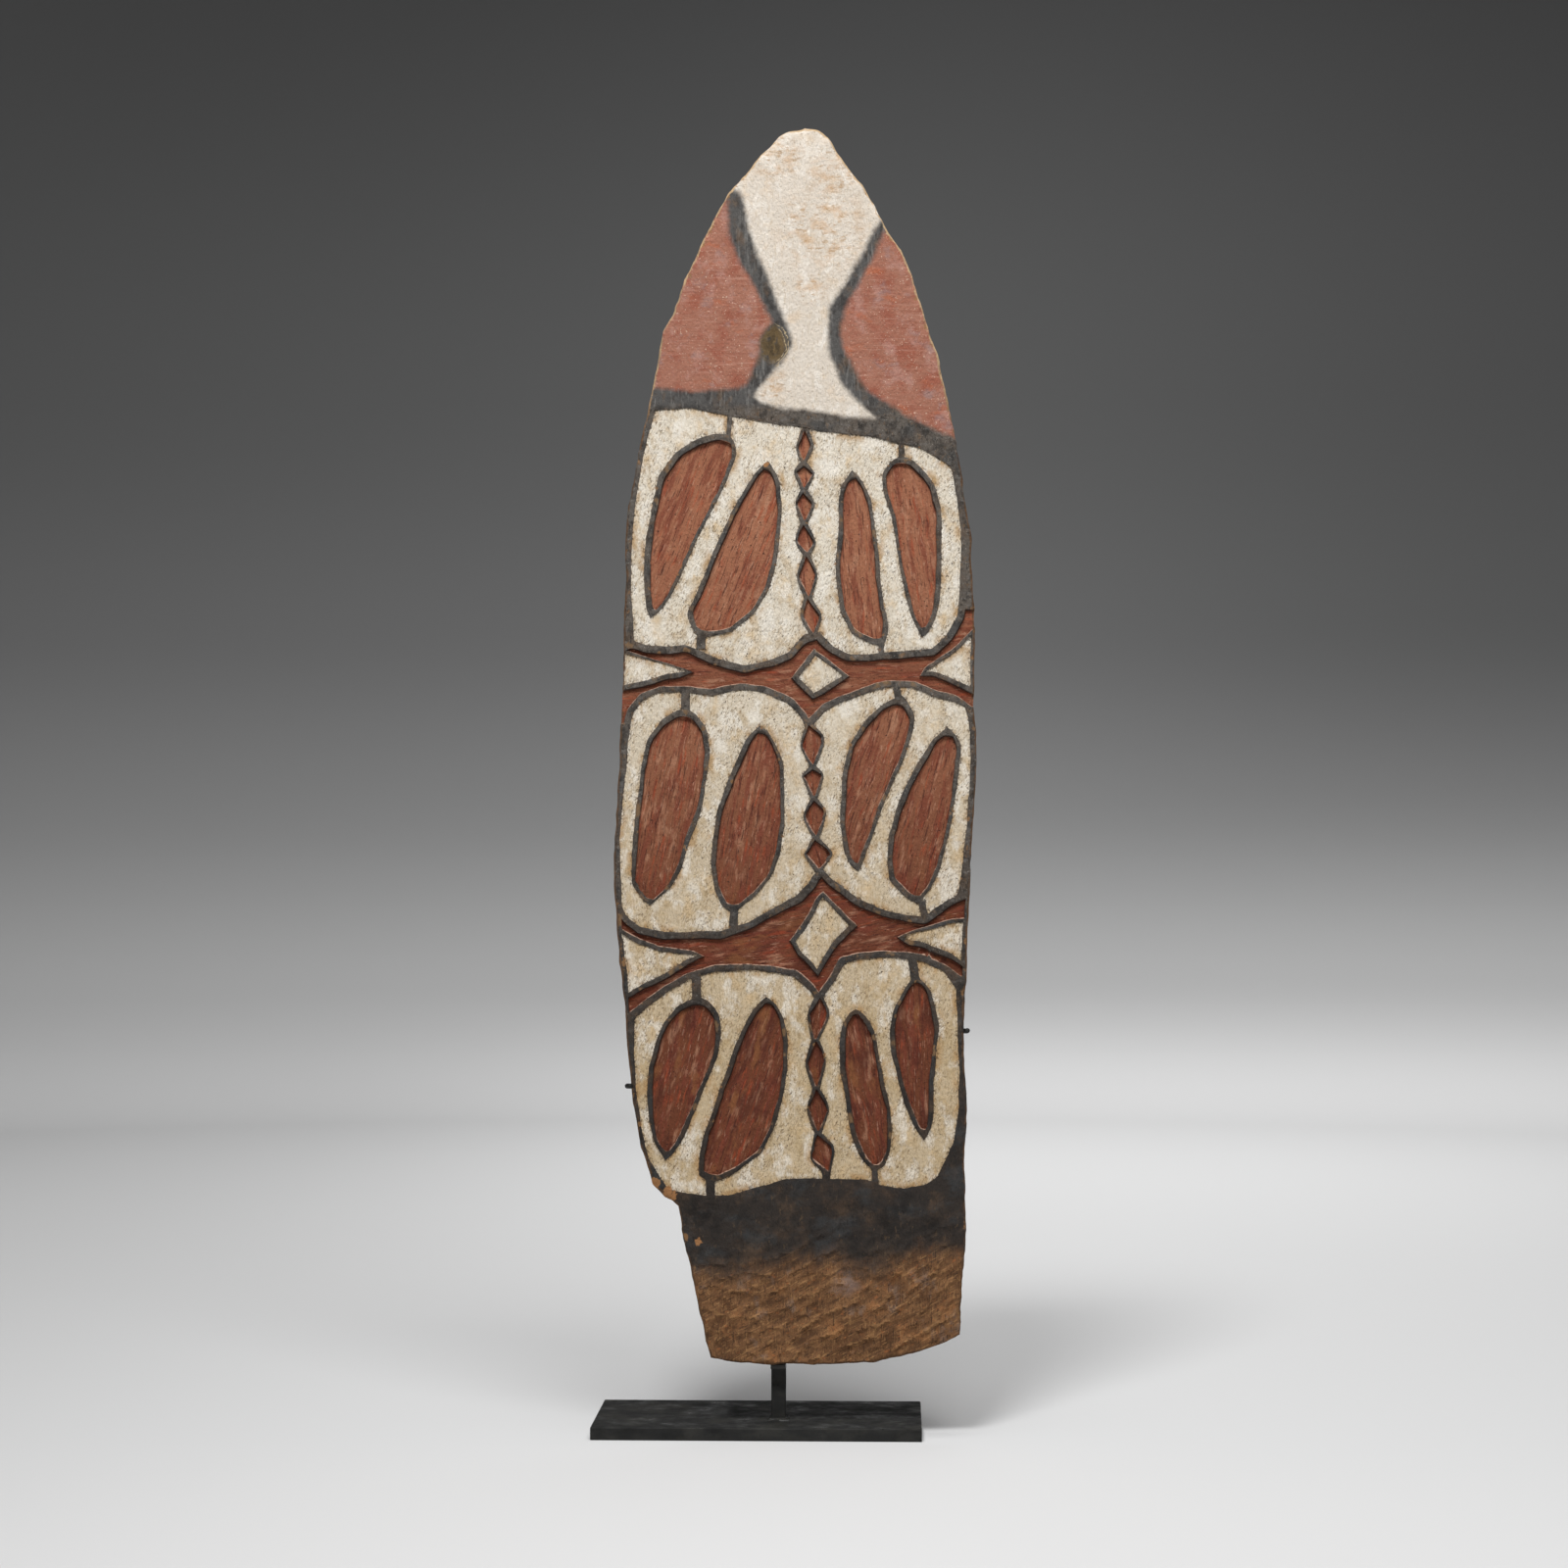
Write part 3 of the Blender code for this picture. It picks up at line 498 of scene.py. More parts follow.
def polygon_depth(u, v, corners):
    """How far inside a polygon each point lies; negative outside."""
    nearest = np.full(np.shape(u), 1e9)
    within = np.zeros(np.shape(u), bool)
    for (ax, ay), (bx, by) in zip(corners, corners[1:] + corners[:1]):
        dx, dy = bx - ax, by - ay
        share = np.clip(((u - ax) * dx + (v - ay) * dy) / (dx * dx + dy * dy), 0, 1)
        nearest = np.minimum(nearest, np.hypot(u - ax - share * dx, v - ay - share * dy))
        crosses = (ay > v) != (by > v)
        within ^= crosses & (u < ax + (v - ay) * dx / (dy or 1.0))
    return np.where(within, nearest, -nearest)


def separate_floors(triangles, count):
    """For each point, the lowest point of the floor that it hangs together with."""
    lead = list(range(count))

    def root(k):
        while lead[k] != k:
            lead[k] = lead[lead[k]]
            k = lead[k]
        return k

    for a, b, c in triangles.tolist():
        a, b, c = root(a), root(b), root(c)
        lead[a] = lead[b] = lead[c] = min(a, b, c)
    return np.array([root(k) for k in range(count)])


class Carving:
    """The board's points, with what the tools and the years did to them."""

    def __init__(self):
        self.points, self.triangles, self.kinds = board_net()
        self.count = len(self.points)
        self.touch = {}
        for kind in range(8):
            self.touch[kind] = np.zeros(self.count, bool)
            self.touch[kind][self.triangles[self.kinds == kind].ravel()] = True
        self.behind = self.touch[SLOPE] | self.touch[FLAT_BACK] | self.touch[GRIP] | self.touch[SIDE]
        sides, pairs = sides_of(self.triangles, self.kinds)
        self.rim = reach(self.points, self.points[self.touch[SIDE]][:, [0, 2]])
        held = self.behind | (self.rim < RIM_HELD)
        self.points[:, [0, 2]] += eased_outlines(self.points, sides, pairs, held)
        self.measure(sides, pairs)
        self.follow_floors()
        self.crest = np.zeros(self.count)
        self.chipped = np.zeros(self.count)

    def measure(self, sides, pairs):
        """Distances from the borders of each kind of surface, and from painted fields and stains."""
        self.inside = {}
        for kind in (FRONT, GROUND, POCKET):
            border = sides[(pairs == kind).sum(axis=1) == 1]
            a, b = self.points[border[:, 0]][:, [0, 2]], self.points[border[:, 1]][:, [0, 2]]
            spots = np.concatenate([a, a + (b - a) / 3, a + (b - a) * 2 / 3])
            far = np.where(self.behind, FAR_BEHIND, 0.0)
            front = ~self.behind | self.touch[SIDE]
            far[front] = reach(self.points[front], spots)
            self.inside[kind] = np.where(self.touch[kind], far, -far)
        u, v = self.points[:, 0], self.points[:, 2]
        drawn = u + PAINT_SWAY * field(u, v, 34, 25), v + PAINT_SWAY * field(u, v, 34, 26)
        self.white = polygon_depth(*drawn, WHITE_FIELD)
        self.red = np.maximum(*[polygon_depth(*drawn, corners) for corners in RED_FIELDS])
        self.bare = np.interp(u, *zip(*BARE_LINE)) - v
        self.sooty = near_spots(u, v, SOOTY_SPOTS)
        self.stained = near_spots(u, v, STAINED_SPOTS, 1 / 3)
        self.fresh = near_spots(u, v, FRESH_SPOTS, 1 / 2)
        self.greyed = near_spots(u, v, GREY_PINK_SPOTS)

    def follow_floors(self):
        """Along and across the way each sunk floor was cut, and how strong its wash of red is."""
        flat = self.points[:, [0, 2]]
        self.lines = np.stack([flat[:, 0], np.zeros(self.count), flat[:, 1]], axis=1)
        self.wash = np.zeros(self.count)
        floors = self.triangles[self.kinds == POCKET]
        labels = separate_floors(floors, self.count)
        rng = np.random.default_rng(17)
        self.floor_of = np.full(self.count, -1)
        for k, label in enumerate(np.unique(labels[floors[:, 0]])):
            spots = np.nonzero(self.touch[POCKET] & (labels == label))[0]
            self.floor_of[spots] = k
            spread = flat[spots] - flat[spots].mean(axis=0)
            axis = longest_way(spread)
            if axis[1] < 0:
                axis = -axis
            across = spread @ np.array([axis[1], -axis[0]])
            apart = np.full(len(spots), FLOORS_APART * k)
            self.lines[spots] = np.stack([across, apart, spread @ axis], axis=1)
            band = np.ptp(flat[spots, 0]) > BAND_WIDTH
            self.wash[spots] = 1.0 if band else rng.uniform(*LEAF_WASH)

    def open_leaf(self, spots, here, flat, middle):
        """How far the points round a leaf's floor move: a little wider, and out to its pointed ends."""
        spread = flat[spots] - middle
        axis = longest_way(spread)
        beside = np.array([axis[1], -axis[0]])
        along, across = spread @ axis, spread @ beside
        side = np.clip((flat[here] - middle) @ beside / (LEAF_FULL * np.abs(across).max()), -1, 1)
        sunk = self.inside[POCKET][here]
        moved = np.outer(ramp(sunk, *SHIFT_FADE) * LEAF_WIDEN * side, beside)
        for end in (-1, 1):
            tip = (end * along).max()
            if np.ptp(across[end * along > tip - TIP_LONG]) < TIP_WIDE:
                share = ramp(end * ((flat[here] - middle) @ axis), tip / 2, tip)
                moved += np.outer(share * ramp(sunk, *TIP_FADE) * TIP_REACH * end, axis)
        return moved

    def open_band_end(self, flat):
        """How far up or down the points move for the lower band to stay broad up to the right rim."""
        u, v = flat.T
        off = v - np.interp(u, *zip(*BAND_END))
        up = ramp(u, 118, 160) * ramp(-u, -214, -184) * ramp(off, -0.6, 0.8) * ramp(-off, -36, -9)
        down = ramp(u, 180, 202) * ramp(-off, -0.6, 0.8) * ramp(off, -36, -9)
        low, high, half = BAND_GROOVE
        groove = (np.abs(off) < half) & (u > low) & (u < high) & ~self.behind
        self.inside[POCKET][groove] = np.maximum(self.inside[POCKET][groove], GROOVE_SUNK)
        return BAND_END_OPEN * (up - down)

    def shift_floors(self):
        """Move, widen and draw out the sunk floors, each by itself; the board's rim stays."""
        flat = self.points[:, [0, 2]].copy()
        sunk = self.inside[POCKET]
        moved = np.zeros(flat.shape)
        floor = np.nonzero(self.touch[POCKET])[0]
        tree = tree_of(flat[floor].tolist())
        near = np.nonzero(~self.behind & (sunk > -BESIDE_FLOOR))[0]
        nearest = [tree.find((u, v, 0.0))[1] for u, v in flat[near].tolist()]
        owner = self.floor_of[floor[nearest]]
        for k in range(owner.max() + 1):
            spots, here = np.nonzero(self.floor_of == k)[0], near[owner == k]
            middle, size = flat[spots].mean(axis=0), np.ptp(flat[spots], axis=0)
            if size[0] < DIAMOND_WIDE and size[1] < DIAMOND_LONG:
                wider = np.outer(ramp(sunk[here], *DIAMOND_FADE), DIAMOND_WIDEN)
                moved[here] += wider * (flat[here] - middle)
            elif size[1] > DIAMOND_LONG and size[0] < LEAF_WIDE:
                moved[here] += self.open_leaf(spots, here, flat, middle)
            for u, v, right, up in FLOOR_SHIFTS:
                if np.hypot(*(middle - (u, v))) < FLOOR_NEAR:
                    moved[here] += np.outer(ramp(sunk[here], *SHIFT_FADE), (right, up))
        moved[:, 1] += self.open_band_end(flat)
        self.points[:, [0, 2]] += moved * ramp(self.rim, *RIM_FADE)[:, None]

    def hold_back(self, before):
        """Lessen the moves sideways wherever the wood left between two cuts would fold over."""
        moved = self.points[:, [0, 2]] - before
        level = self.triangles[np.isin(self.kinds, (FRONT, GROUND, POCKET))]
        full = turned_area(before, level)
        for _ in range(HOLD_ROUNDS):
            tight = level[turned_area(before + moved, level) / full < HELD_AREA]
            moved[np.unique(tight)] *= HELD_SHARE
        self.points[:, [0, 2]] = before + moved

    def carve(self, u, v):
        """How much deeper the blades went at each point; notes the crests left between their cuts."""
        front_in, ground_in, pocket_in = [self.inside[kind] for kind in (FRONT, GROUND, POCKET)]
        on_front, on_ground, on_floor = [self.touch[kind] for kind in (FRONT, GROUND, POCKET)]
        deeper = swells(u, v, (0.7, 160, 1), (0.25, 55, 2))

        gouged = tool_cuts(self.lines[:, 2] + self.lines[:, 1] * 9, self.lines[:, 0], *GOUGE)
        deeper -= np.where(on_floor, ramp(pocket_in, 0, 2.5) * GOUGE_DEPTH * (gouged - MEAN_CUT), 0)
        pared = tool_cuts(v + 0.3 * u, u, *PARING_BLADE)
        deeper -= np.where(on_ground, ramp(ground_in, 0, 3) * PARING_DEPTH * (pared - MEAN_CUT), 0)
        deeper += np.where(on_ground | on_floor, swells(u, v, (0.2, 4.5, 18)), 0)

        # the ridges' edges are rubbed down, and their tops are uneven
        tiers = ramp(v, CARVED_LOW - 5, CARVED_LOW + 5) * ramp(-v, -CARVED_HIGH - 5, 10 - CARVED_HIGH)
        on_ridge = np.where(on_front, tiers, 0)
        deeper += on_ridge * (0.38 + swells(u, v, (0.25, 9, 5))) * ramp(-front_in, -1.6, 0)
        deeper += on_ridge * swells(u, v, (0.35, 17, 6), (0.2, 5, 7))

        # slanting steps on the foot, deepest where it is bare, with a second row of cuts across them
        sway = swells(u, v, (16, 110, 21), (5, 24, 29))
        adzed = tool_cuts(v - 0.4 * u + sway, u + 0.4 * v, *ADZE)
        nicked = tool_cuts(v - 1.1 * u - sway, u + 1.1 * v, *STEEP_ADZE)
        foot = np.where(on_front, 1 - ramp(v, *FOOT_EDGE), 0) * ramp(self.rim, 0, 8)
        deeper -= foot * (0.35 + 0.65 * ramp(self.bare, -60, 10)) * ADZE_DEPTH * (adzed - MEAN_CUT)
        deeper -= foot * swells(u, v, (2.4, 60, 22), (0.35, 8, 28))
        deeper -= foot * ramp(self.bare, -30, 40) * STEEP_ADZE_DEPTH * (nicked - MEAN_CUT)

        # the crown and the back are hewn flat, and the knot is sunk with a low ring round it
        hewn = tool_cuts(v, u, *CROWN_BLADE)
        crown = np.where(on_front, ramp(v, *CROWN_EDGE), 0)
        deeper -= crown * CROWN_CUT_DEPTH * (hewn - MEAN_CUT) * ramp(self.rim, 0, 6)
        knot = np.hypot((u - KNOT[0]) / KNOT_SIZE[0], (v - KNOT[1]) / KNOT_SIZE[1])
        deeper += 1.1 * ramp(-knot, -1.05, -0.75) - 0.5 * ramp(-np.abs(knot - 1.08), -0.2, 0)
        chopped = tool_cuts(v, u, *BACK_BLADE)
        backs = np.where(self.touch[SLOPE] | self.touch[FLAT_BACK], ramp(self.rim, 0, 12), 0)
        deeper += backs * BACK_CUT_DEPTH * (chopped - MEAN_CUT)
        self.crest = np.select([on_floor, on_ground, on_front & (v < FOOT_EDGE[1]), self.behind],
                               [gouged, pared, adzed, chopped], hewn)
        return deeper

    def push(self, right, up):
        """Move the points over the board's face, each by its own amount."""
        self.points[:, 0] += right
        self.points[:, 2] += up

    def waver(self, u, v):
        """The outlines of the floors and the white fields waver as a hand-led blade does."""
        sunk = ramp(self.inside[POCKET], -3.4, -1.2)
        self.push(sunk * (0.2 + swells(u, v, (0.9, 24, 23))), sunk * (swells(u, v, (0.9, 24, 24)) - 0.3))
        low = ramp(self.inside[GROUND], -2.8, -0.6) * ramp(self.rim, *RIM_FADE)
        self.push(low * swells(u, v, (0.9, 30, 31)), low * swells(u, v, (0.9, 30, 32)))

    def wear(self, u, v):
        """The whole outline is a little uneven, notched by use at its rim and swollen at the shoulders."""
        self.push(swells(u, v, (0.55, 24, 11), (0.4, 9, 12)), swells(u, v, (0.55, 24, 13), (0.4, 9, 14)))
        inward = np.stack([-u / HALF_WIDTH, (MIDDLE_HEIGHT - v) / HALF_HEIGHT])
        inward /= np.maximum(np.hypot(*inward), 0.3)
        rough = ramp(v, 1150, 1250) + ramp(-v, -205, -160)
        notch = (1.5 + rough) * np.abs(field(u, v, 26, 15)) + rough * np.abs(field(u, v, 11, 33))
        self.push(*(notch * ramp(-self.rim, -14, 0) * inward))
        for place, width, lift in CROWN_SHOULDERS:
            self.points[:, 2] += ramp(v, 1490, 1535) * lift * np.exp(-((u - place) / width) ** 2)

    def cut(self):
        """Tool marks, wear and warp, as far as they shape the wood."""
        before = self.points[:, [0, 2]].copy()
        u, v = before.T
        self.points[:, 1] += self.carve(u, v)
        self.shift_floors()
        self.waver(u, v)
        self.hold_back(before)
        self.wear(u, v)

    def chip(self, near, count, sizes, depths, seed):
        """Small losses at places drawn from the points that are near."""
        rng = np.random.default_rng(seed)
        tree = tree_of(self.points[:, [0, 2]].tolist())
        for spot in rng.choice(np.nonzero(near)[0], count):
            radius, depth = rng.uniform(*sizes), rng.uniform(*depths)
            u, v = self.points[spot, [0, 2]]
            for _, index, gap in tree.find_range((u, v, 0.0), radius):
                if not self.behind[index] and not self.touch[POCKET][index]:
                    dent = depth * (1 - (gap / radius) ** 2) ** 2
                    self.points[index, 1] += dent
                    self.chipped[index] = max(self.chipped[index], dent / depth)

    def facts(self):
        """What the paints need to know at every point: distances in from borders, marks and stains."""
        return {"ridge_in": self.inside[FRONT], "ground_in": self.inside[GROUND],
                "pocket_in": self.inside[POCKET], "rim_in": self.rim, "white_in": self.white,
                "red_in": self.red, "bare_in": self.bare, "crest": self.crest,
                "chipped": self.chipped, "wash": self.wash, "sooty": self.sooty,
                "greyed": self.greyed, "stained": self.stained, "fresh": self.fresh}


def placed(name, data):
    """A new object with this data, put into the scene."""
    made = bpy.data.objects.new(name, data)
    bpy.context.scene.collection.objects.link(made)
    return made


def smooth_mesh(name, points, faces, crease):
    """A mesh that is smooth, but for the edges that turn by more than the crease."""
    mesh = bpy.data.meshes.new(name)
    mesh.from_pydata(points, [], faces)
    mesh.shade_smooth()
    mesh.set_sharp_from_angle(angle=crease)
    return mesh


def painted_board():
    """The carved board in fine relief, with what its paints need to know at every point."""
    carving = Carving()
    carving.cut()
    ridges = carving.touch[FRONT] & (np.abs(carving.inside[FRONT]) < RIDGE_EDGE)
    carving.chip(ridges & (carving.points[:, 2] > CARVED_LOW - 5), *RIDGE_CHIPS)
    carving.chip((carving.rim < RIM_EDGE) & ~carving.behind, *RIM_CHIPS)
    points, triangles = (carving.points * MM).tolist(), carving.triangles.tolist()
    mesh = smooth_mesh("carved_board", points, triangles, BOARD_CREASE)
    board = placed("carved_board", mesh)
    board.matrix_world = BOARD_PLACE
    facts = carving.facts()
    for name, values in facts.items():
        fact = mesh.attributes.new(name, 'FLOAT', 'POINT')
        fact.data.foreach_set("value", np.asarray(values, np.float32))
    streak = mesh.attributes.new("streak", 'FLOAT_VECTOR', 'POINT')
    streak.data.foreach_set("vector", carving.lines.astype(np.float32).ravel())
    mesh.materials.append(earth_painted_wood(facts))
    mesh.materials.append(smoke_dark_wood())
    unpainted = np.isin(carving.kinds, (SLOPE, FLAT_BACK, GRIP, SIDE)).astype(np.int32)
    mesh.polygons.foreach_set("material_index", unpainted)
    return board


def mesh_piece(name, points, faces, place, material):
    """A smooth mesh from points in millimetres, standing at a place."""
    mesh = smooth_mesh(name, [point * MM for point in points], faces, STEEL_CREASE)
    mesh.materials.append(material)
    made = placed(name, mesh)
    made.matrix_world = place
    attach(made, "root")
    return made


def rounded(corners, radius, steps=BEND_STEPS):
    """The path with its inner corners turned on a radius."""
    path = [corners[0]]
    for before, corner, after in zip(corners, corners[1:], corners[2:]):
        back, on = (before - corner).normalized(), (after - corner).normalized()
        half = back.angle(on) / 2
        centre = corner + (back + on).normalized() * (radius / sin(half))
        run = radius * cos(half) / sin(half)
        start, stop = corner + back * run - centre, corner + on * run - centre
        for k in range(steps + 1):
            path.append(centre + start.slerp(stop, k / steps).normalized() * radius)
    return path + [corners[-1]]


def round_bar(path, sides=BAR_SIDES):
    """Points and faces of a round bar along a path in one level plane, its sawn ends softened."""
    start, stop = (path[1] - path[0]).normalized(), (path[-1] - path[-2]).normalized()
    stations = [(path[0], start, ROD / 2 - END_SOFT), (path[0] + start * END_SOFT, start, ROD / 2)]
    for before, point, after in zip(path, path[1:], path[2:]):
        stations.append((point, (after - before).normalized(), ROD / 2))
    stations += [(path[-1] - stop * END_SOFT, stop, ROD / 2), (path[-1], stop, ROD / 2 - END_SOFT)]
    upright = Vector((0, 0, 1))
    points = []
    for point, along, radius in stations:
        beside = upright.cross(along)
        for k in range(sides):
            turn = 2 * pi * k / sides
            points.append(point + (beside * cos(turn) + upright * sin(turn)) * radius)
    faces = [list(range(sides))[::-1], list(range(len(points) - sides, len(points)))]
    for ring in range(len(stations) - 1):
        for k in range(sides):
            a, b = ring * sides + k, ring * sides + (k + 1) % sides
            faces.append([a, b, b + sides, a + sides])
    return points, faces


def arm(name, side, height, tip, steel):
    """A bent bar from the post, out behind the board and forward round its edge."""
    low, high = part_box(name)
    out = (high.x / MM if side > 0 else low.x / MM) - side * ROD / 2 - BOARD_ORIGIN_X
    start = -BOARD_FROM_FOOT.x / MM + side * (POST_SIDE / 2 + GAP)
    corners = [Vector((start, POST_DEPTH, height)), Vector((out, POST_DEPTH, height)),
               Vector((out, tip[0], height))]
    path = rounded(corners, ROD_BEND)
    if len(tip) > 1:
        path.append(Vector((out - side * tip[1], tip[0] - tip[2], height)))
    made = mesh_piece(name + "_bar", *round_bar(path), BOARD_PLACE, steel)
    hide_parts(name)


def weld_bead(steel):
    """The lumpy bead of weld round the post's foot, a bit proud of its plain core."""
    half = POST_SIDE / 2 + WELD_OUT
    corners = [Vector((x * half, y * half, 0.0)) for x, y in ((-1, -1), (1, -1), (1, 1), (-1, 1))]
    middle = (corners[0] + corners[1]) / 2
    loop = rounded([middle, *corners[1:], corners[0], middle], WELD_TURN)[:-1]
    ring = []
    for a, b in zip(loop, loop[1:] + loop[:1]):
        count = max(1, round((b - a).length / WELD_STEP))
        ring += [a.lerp(b, k / count) for k in range(count)]
    sides = WELD_SIDES
    swell = np.random.default_rng(27).uniform(*WELD_LUMPS, len(ring))
    points = []
    for k, point in enumerate(ring):
        outward = point.normalized()
        size = WELD_THICK * (0.88 + 0.12 * cos(2 * pi * k / 3)) * (swell[k] + swell[k - 1]) / 2
        for j in range(sides):
            around = 2 * pi * j / sides
            points.append(point + outward * cos(around) * size + Vector((0, 0, sin(around) * size)))
    faces = []
    for k in range(len(ring)):
        for j in range(sides):
            a, b = k * sides + j, k * sides + (j + 1) % sides
            c, d = (a + sides) % len(points), (b + sides) % len(points)
            faces.append([a, c, d, b])
    place = Matrix.Translation(POST_FOOT + Vector((0, 0, WELD_RISE * MM)))
    mesh_piece("weld_bead", points, faces, place, steel)


def srgb(text):
    """A colour from its sRGB hex value, as linear light."""
    parts = [int(text[k:k + 2], 16) / 255 for k in (1, 3, 5)]
    return tuple(p / 12.92 if p <= 0.04045 else ((p + 0.055) / 1.055) ** 2.4 for p in parts) + (1.0,)


def feed(tree, inputs, feeds):
    """Give each input its value, or the socket that feeds it."""
    for key, value in feeds.items():
        if isinstance(value, bpy.types.NodeSocket):
            tree.links.new(value, inputs[key])
        else:
            inputs[key].default_value = srgb(value) if isinstance(value, str) else value


def add(tree, kind, feeds=None, out=0, **settings):
    """One shader node with its settings and with what its inputs are given."""
    node = tree.nodes.new("ShaderNode" + kind)
    for name, value in settings.items():
        setattr(node, name, value)
    feed(tree, node.inputs, feeds or {})
    return node.outputs[out]


def blank(name):
    """A new material, its node tree, and the place on the piece in millimetres of its own frame."""
    made = bpy.data.materials.new(name)
    made.use_nodes = True
    place = add(made.node_tree, "TexCoord", out="Object")
    spot = add(made.node_tree, "VectorMath", {0: place, 1: (1 / MM,) * 3}, operation='MULTIPLY')
    return made, made.node_tree, spot


def finish(made, colour, roughness, specular, height=None):
    """The material with its colour and sheen; a height roughens its light by up to a millimetre."""
    tree = made.node_tree
    feeds = {"Base Color": colour, "Roughness": roughness, "Specular IOR Level": specular}
    if height is not None:
        feeds["Normal"] = add(tree, "Bump", {"Height": height, "Distance": MM})
    feed(tree, tree.nodes["Principled BSDF"].inputs, feeds)
    return made


def patches(tree, spot, width, length, seed, start, full, strength=1.0):
    """Uneven patches, this wide and long in millimetres; start and full set how rare and how soft."""
    seat = add(tree, "VectorMath", {0: spot, 1: (1 / width, 1 / width, 1 / length), 2: (7.3 * seed,) * 3},
               operation='MULTIPLY_ADD')
    cloud = add(tree, "TexNoise", {"Vector": seat, "Scale": 1.0, "Detail": 3.5, "Roughness": 0.6})
    return add(tree, "MapRange", {0: cloud, 1: start, 2: full, 4: strength},
               interpolation_type='SMOOTHSTEP')


def laid(tree, below, above, *shares):
    """One colour over another, as far as all the shares allow.

    A share is an amount, or a measured value with where it starts, where it is full and its strength.
    """
    total = None
    for share in shares:
        if isinstance(share, tuple):
            value, start, full, *strength = share
            share = add(tree, "MapRange", {0: value, 1: start, 2: full, 4: (strength or [1.0])[0]},
                        interpolation_type='SMOOTHSTEP')
        total = share if total is None else add(tree, "Math", {0: total, 1: share}, operation='MULTIPLY')
    return add(tree, "Mix", {0: total, 6: below, 7: above}, 2, data_type='RGBA')


def marked(tree, spot, colour, marks, *only):
    """Lay marks over a colour: each has a colour, width, length, start, full and strength."""
    for seed, (paint, *shape) in enumerate(marks):
        share = patches(tree, spot, *shape[:2], seed, *shape[2:])
        colour = laid(tree, colour, paint, share, *only)
    return colour


def past(tree, spot, distance, line, soft, wander, size):
    """1 beyond a measured line and 0 before it; the line wanders and frays a little."""
    stray = add(tree, "TexNoise", {"Vector": spot, "Scale": 1 / size, "Detail": 4.0, "Roughness": 0.65})
    moved = add(tree, "Math", {0: stray, 1: 2 * wander, 2: distance}, operation='MULTIPLY_ADD')
    return add(tree, "MapRange", {0: moved, 1: line + wander - soft, 2: line + wander + soft},
               interpolation_type='SMOOTHSTEP')


# Marks on each finish: colour, width and length in mm, noise level where they start and are full,
# strength. Pores, fibres, scratches and brush hairs are really 0.1 to 0.6 mm wide; they would be lost
# in a picture of the whole shield, so they are drawn 1.6 mm and wider.
WOOD_MARKS = (
    ("#553823", 34, 60, 0.45, 0.64, 0.65),     # darker heart streaks
    ("#A06A40", 24, 34, 0.54, 0.70, 0.45),     # fresher, warmer patches
    ("#83736A", 18, 26, 0.57, 0.70, 0.4),      # greyed, handled patches
    ("#2E2018", 1.8, 20, 0.55, 0.66, 0.7),     # dark pores drawn out along the grain
    ("#B48A5C", 1.6, 16, 0.45, 0.34, 0.4))     # pale fibres
ADZE_MARKS = (
    ("#4E3523", 9, 30, 0.50, 0.66, 0.6),       # shadowed hollows of slanting cuts
    ("#B08558", 2.6, 24, 0.57, 0.67, 0.5),     # torn fibres that catch the light
    ("#35261B", 1.8, 14, 0.58, 0.66, 0.7),     # dirt at the foot of the cuts
    ("#9A5E36", 5, 9, 0.62, 0.68, 0.6))        # small orange-brown breaks
SMOKE_MARKS = (
    ("#3A2B20", 3.0, 90, 0.52, 0.64, 0.6),     # open grain filled with soot
    ("#9A7C58", 3.4, 110, 0.56, 0.68, 0.5),    # pale ribs between the pores
    ("#33261D", 30, 44, 0.56, 0.70, 0.55))     # handled, blackened patches
CHARCOAL_MARKS = (
    ("#5A4737", 40, 34, 0.46, 0.66, 0.5),      # browner where it is thin
    ("#3B3E40", 44, 30, 0.50, 0.66, 0.55),     # bluish where ash was rubbed in
    ("#262321", 14, 20, 0.48, 0.64, 0.6),      # thicker, blacker smears
    ("#6B5640", 6, 15, 0.61, 0.71, 0.4),       # wood showing through
    ("#1D1B1A", 1.8, 9, 0.58, 0.66, 0.6))      # pores filled with soot
THIN_CHARCOAL_MARKS = (
    ("#77736F", 12, 6, 0.52, 0.66, 0.45),      # bluish grey where the wash ran thin
    ("#6E5740", 7, 10, 0.60, 0.68, 0.5),       # brown wood showing through
    ("#2B2724", 3, 7, 0.60, 0.66, 0.7),        # dark worn dints
    ("#A09A90", 1.8, 2.6, 0.64, 0.67, 0.6))    # grains of lime
RED_MARKS = (
    ("#75392A", 7, 50, 0.46, 0.62, 0.65),      # darker strokes of the wash
    ("#B5866A", 9, 34, 0.54, 0.68, 0.5),       # thin, chalky places
    ("#A4482A", 4, 34, 0.57, 0.68, 0.5),       # stronger orange-red strokes
    ("#43201A", 1.6, 24, 0.56, 0.64, 0.75),    # dark lines at the foot of each gouge stroke
    ("#CFA288", 1.6, 14, 0.62, 0.67, 0.4),     # pale scratches
    ("#2A1712", 3.0, 4.0, 0.66, 0.68, 0.9))    # dark nicks
OLD_RED_MARKS = (
    ("#4A2119", 12, 40, 0.48, 0.64, 0.55),     # soot and grease drawn along the gouge strokes
    ("#93603A", 18, 44, 0.56, 0.70, 0.5))      # rubbed down to ochre wood in the middle
LIME_MARKS = (
    ("#D3B68C", 24, 34, 0.50, 0.68, 0.55),     # brown stain that came up through the lime
    ("#EFE9DE", 18, 28, 0.47, 0.62, 0.6),      # thick, clean places
    ("#AF9672", 1.9, 9, 0.55, 0.66, 0.5))      # grain of the wood in the lime
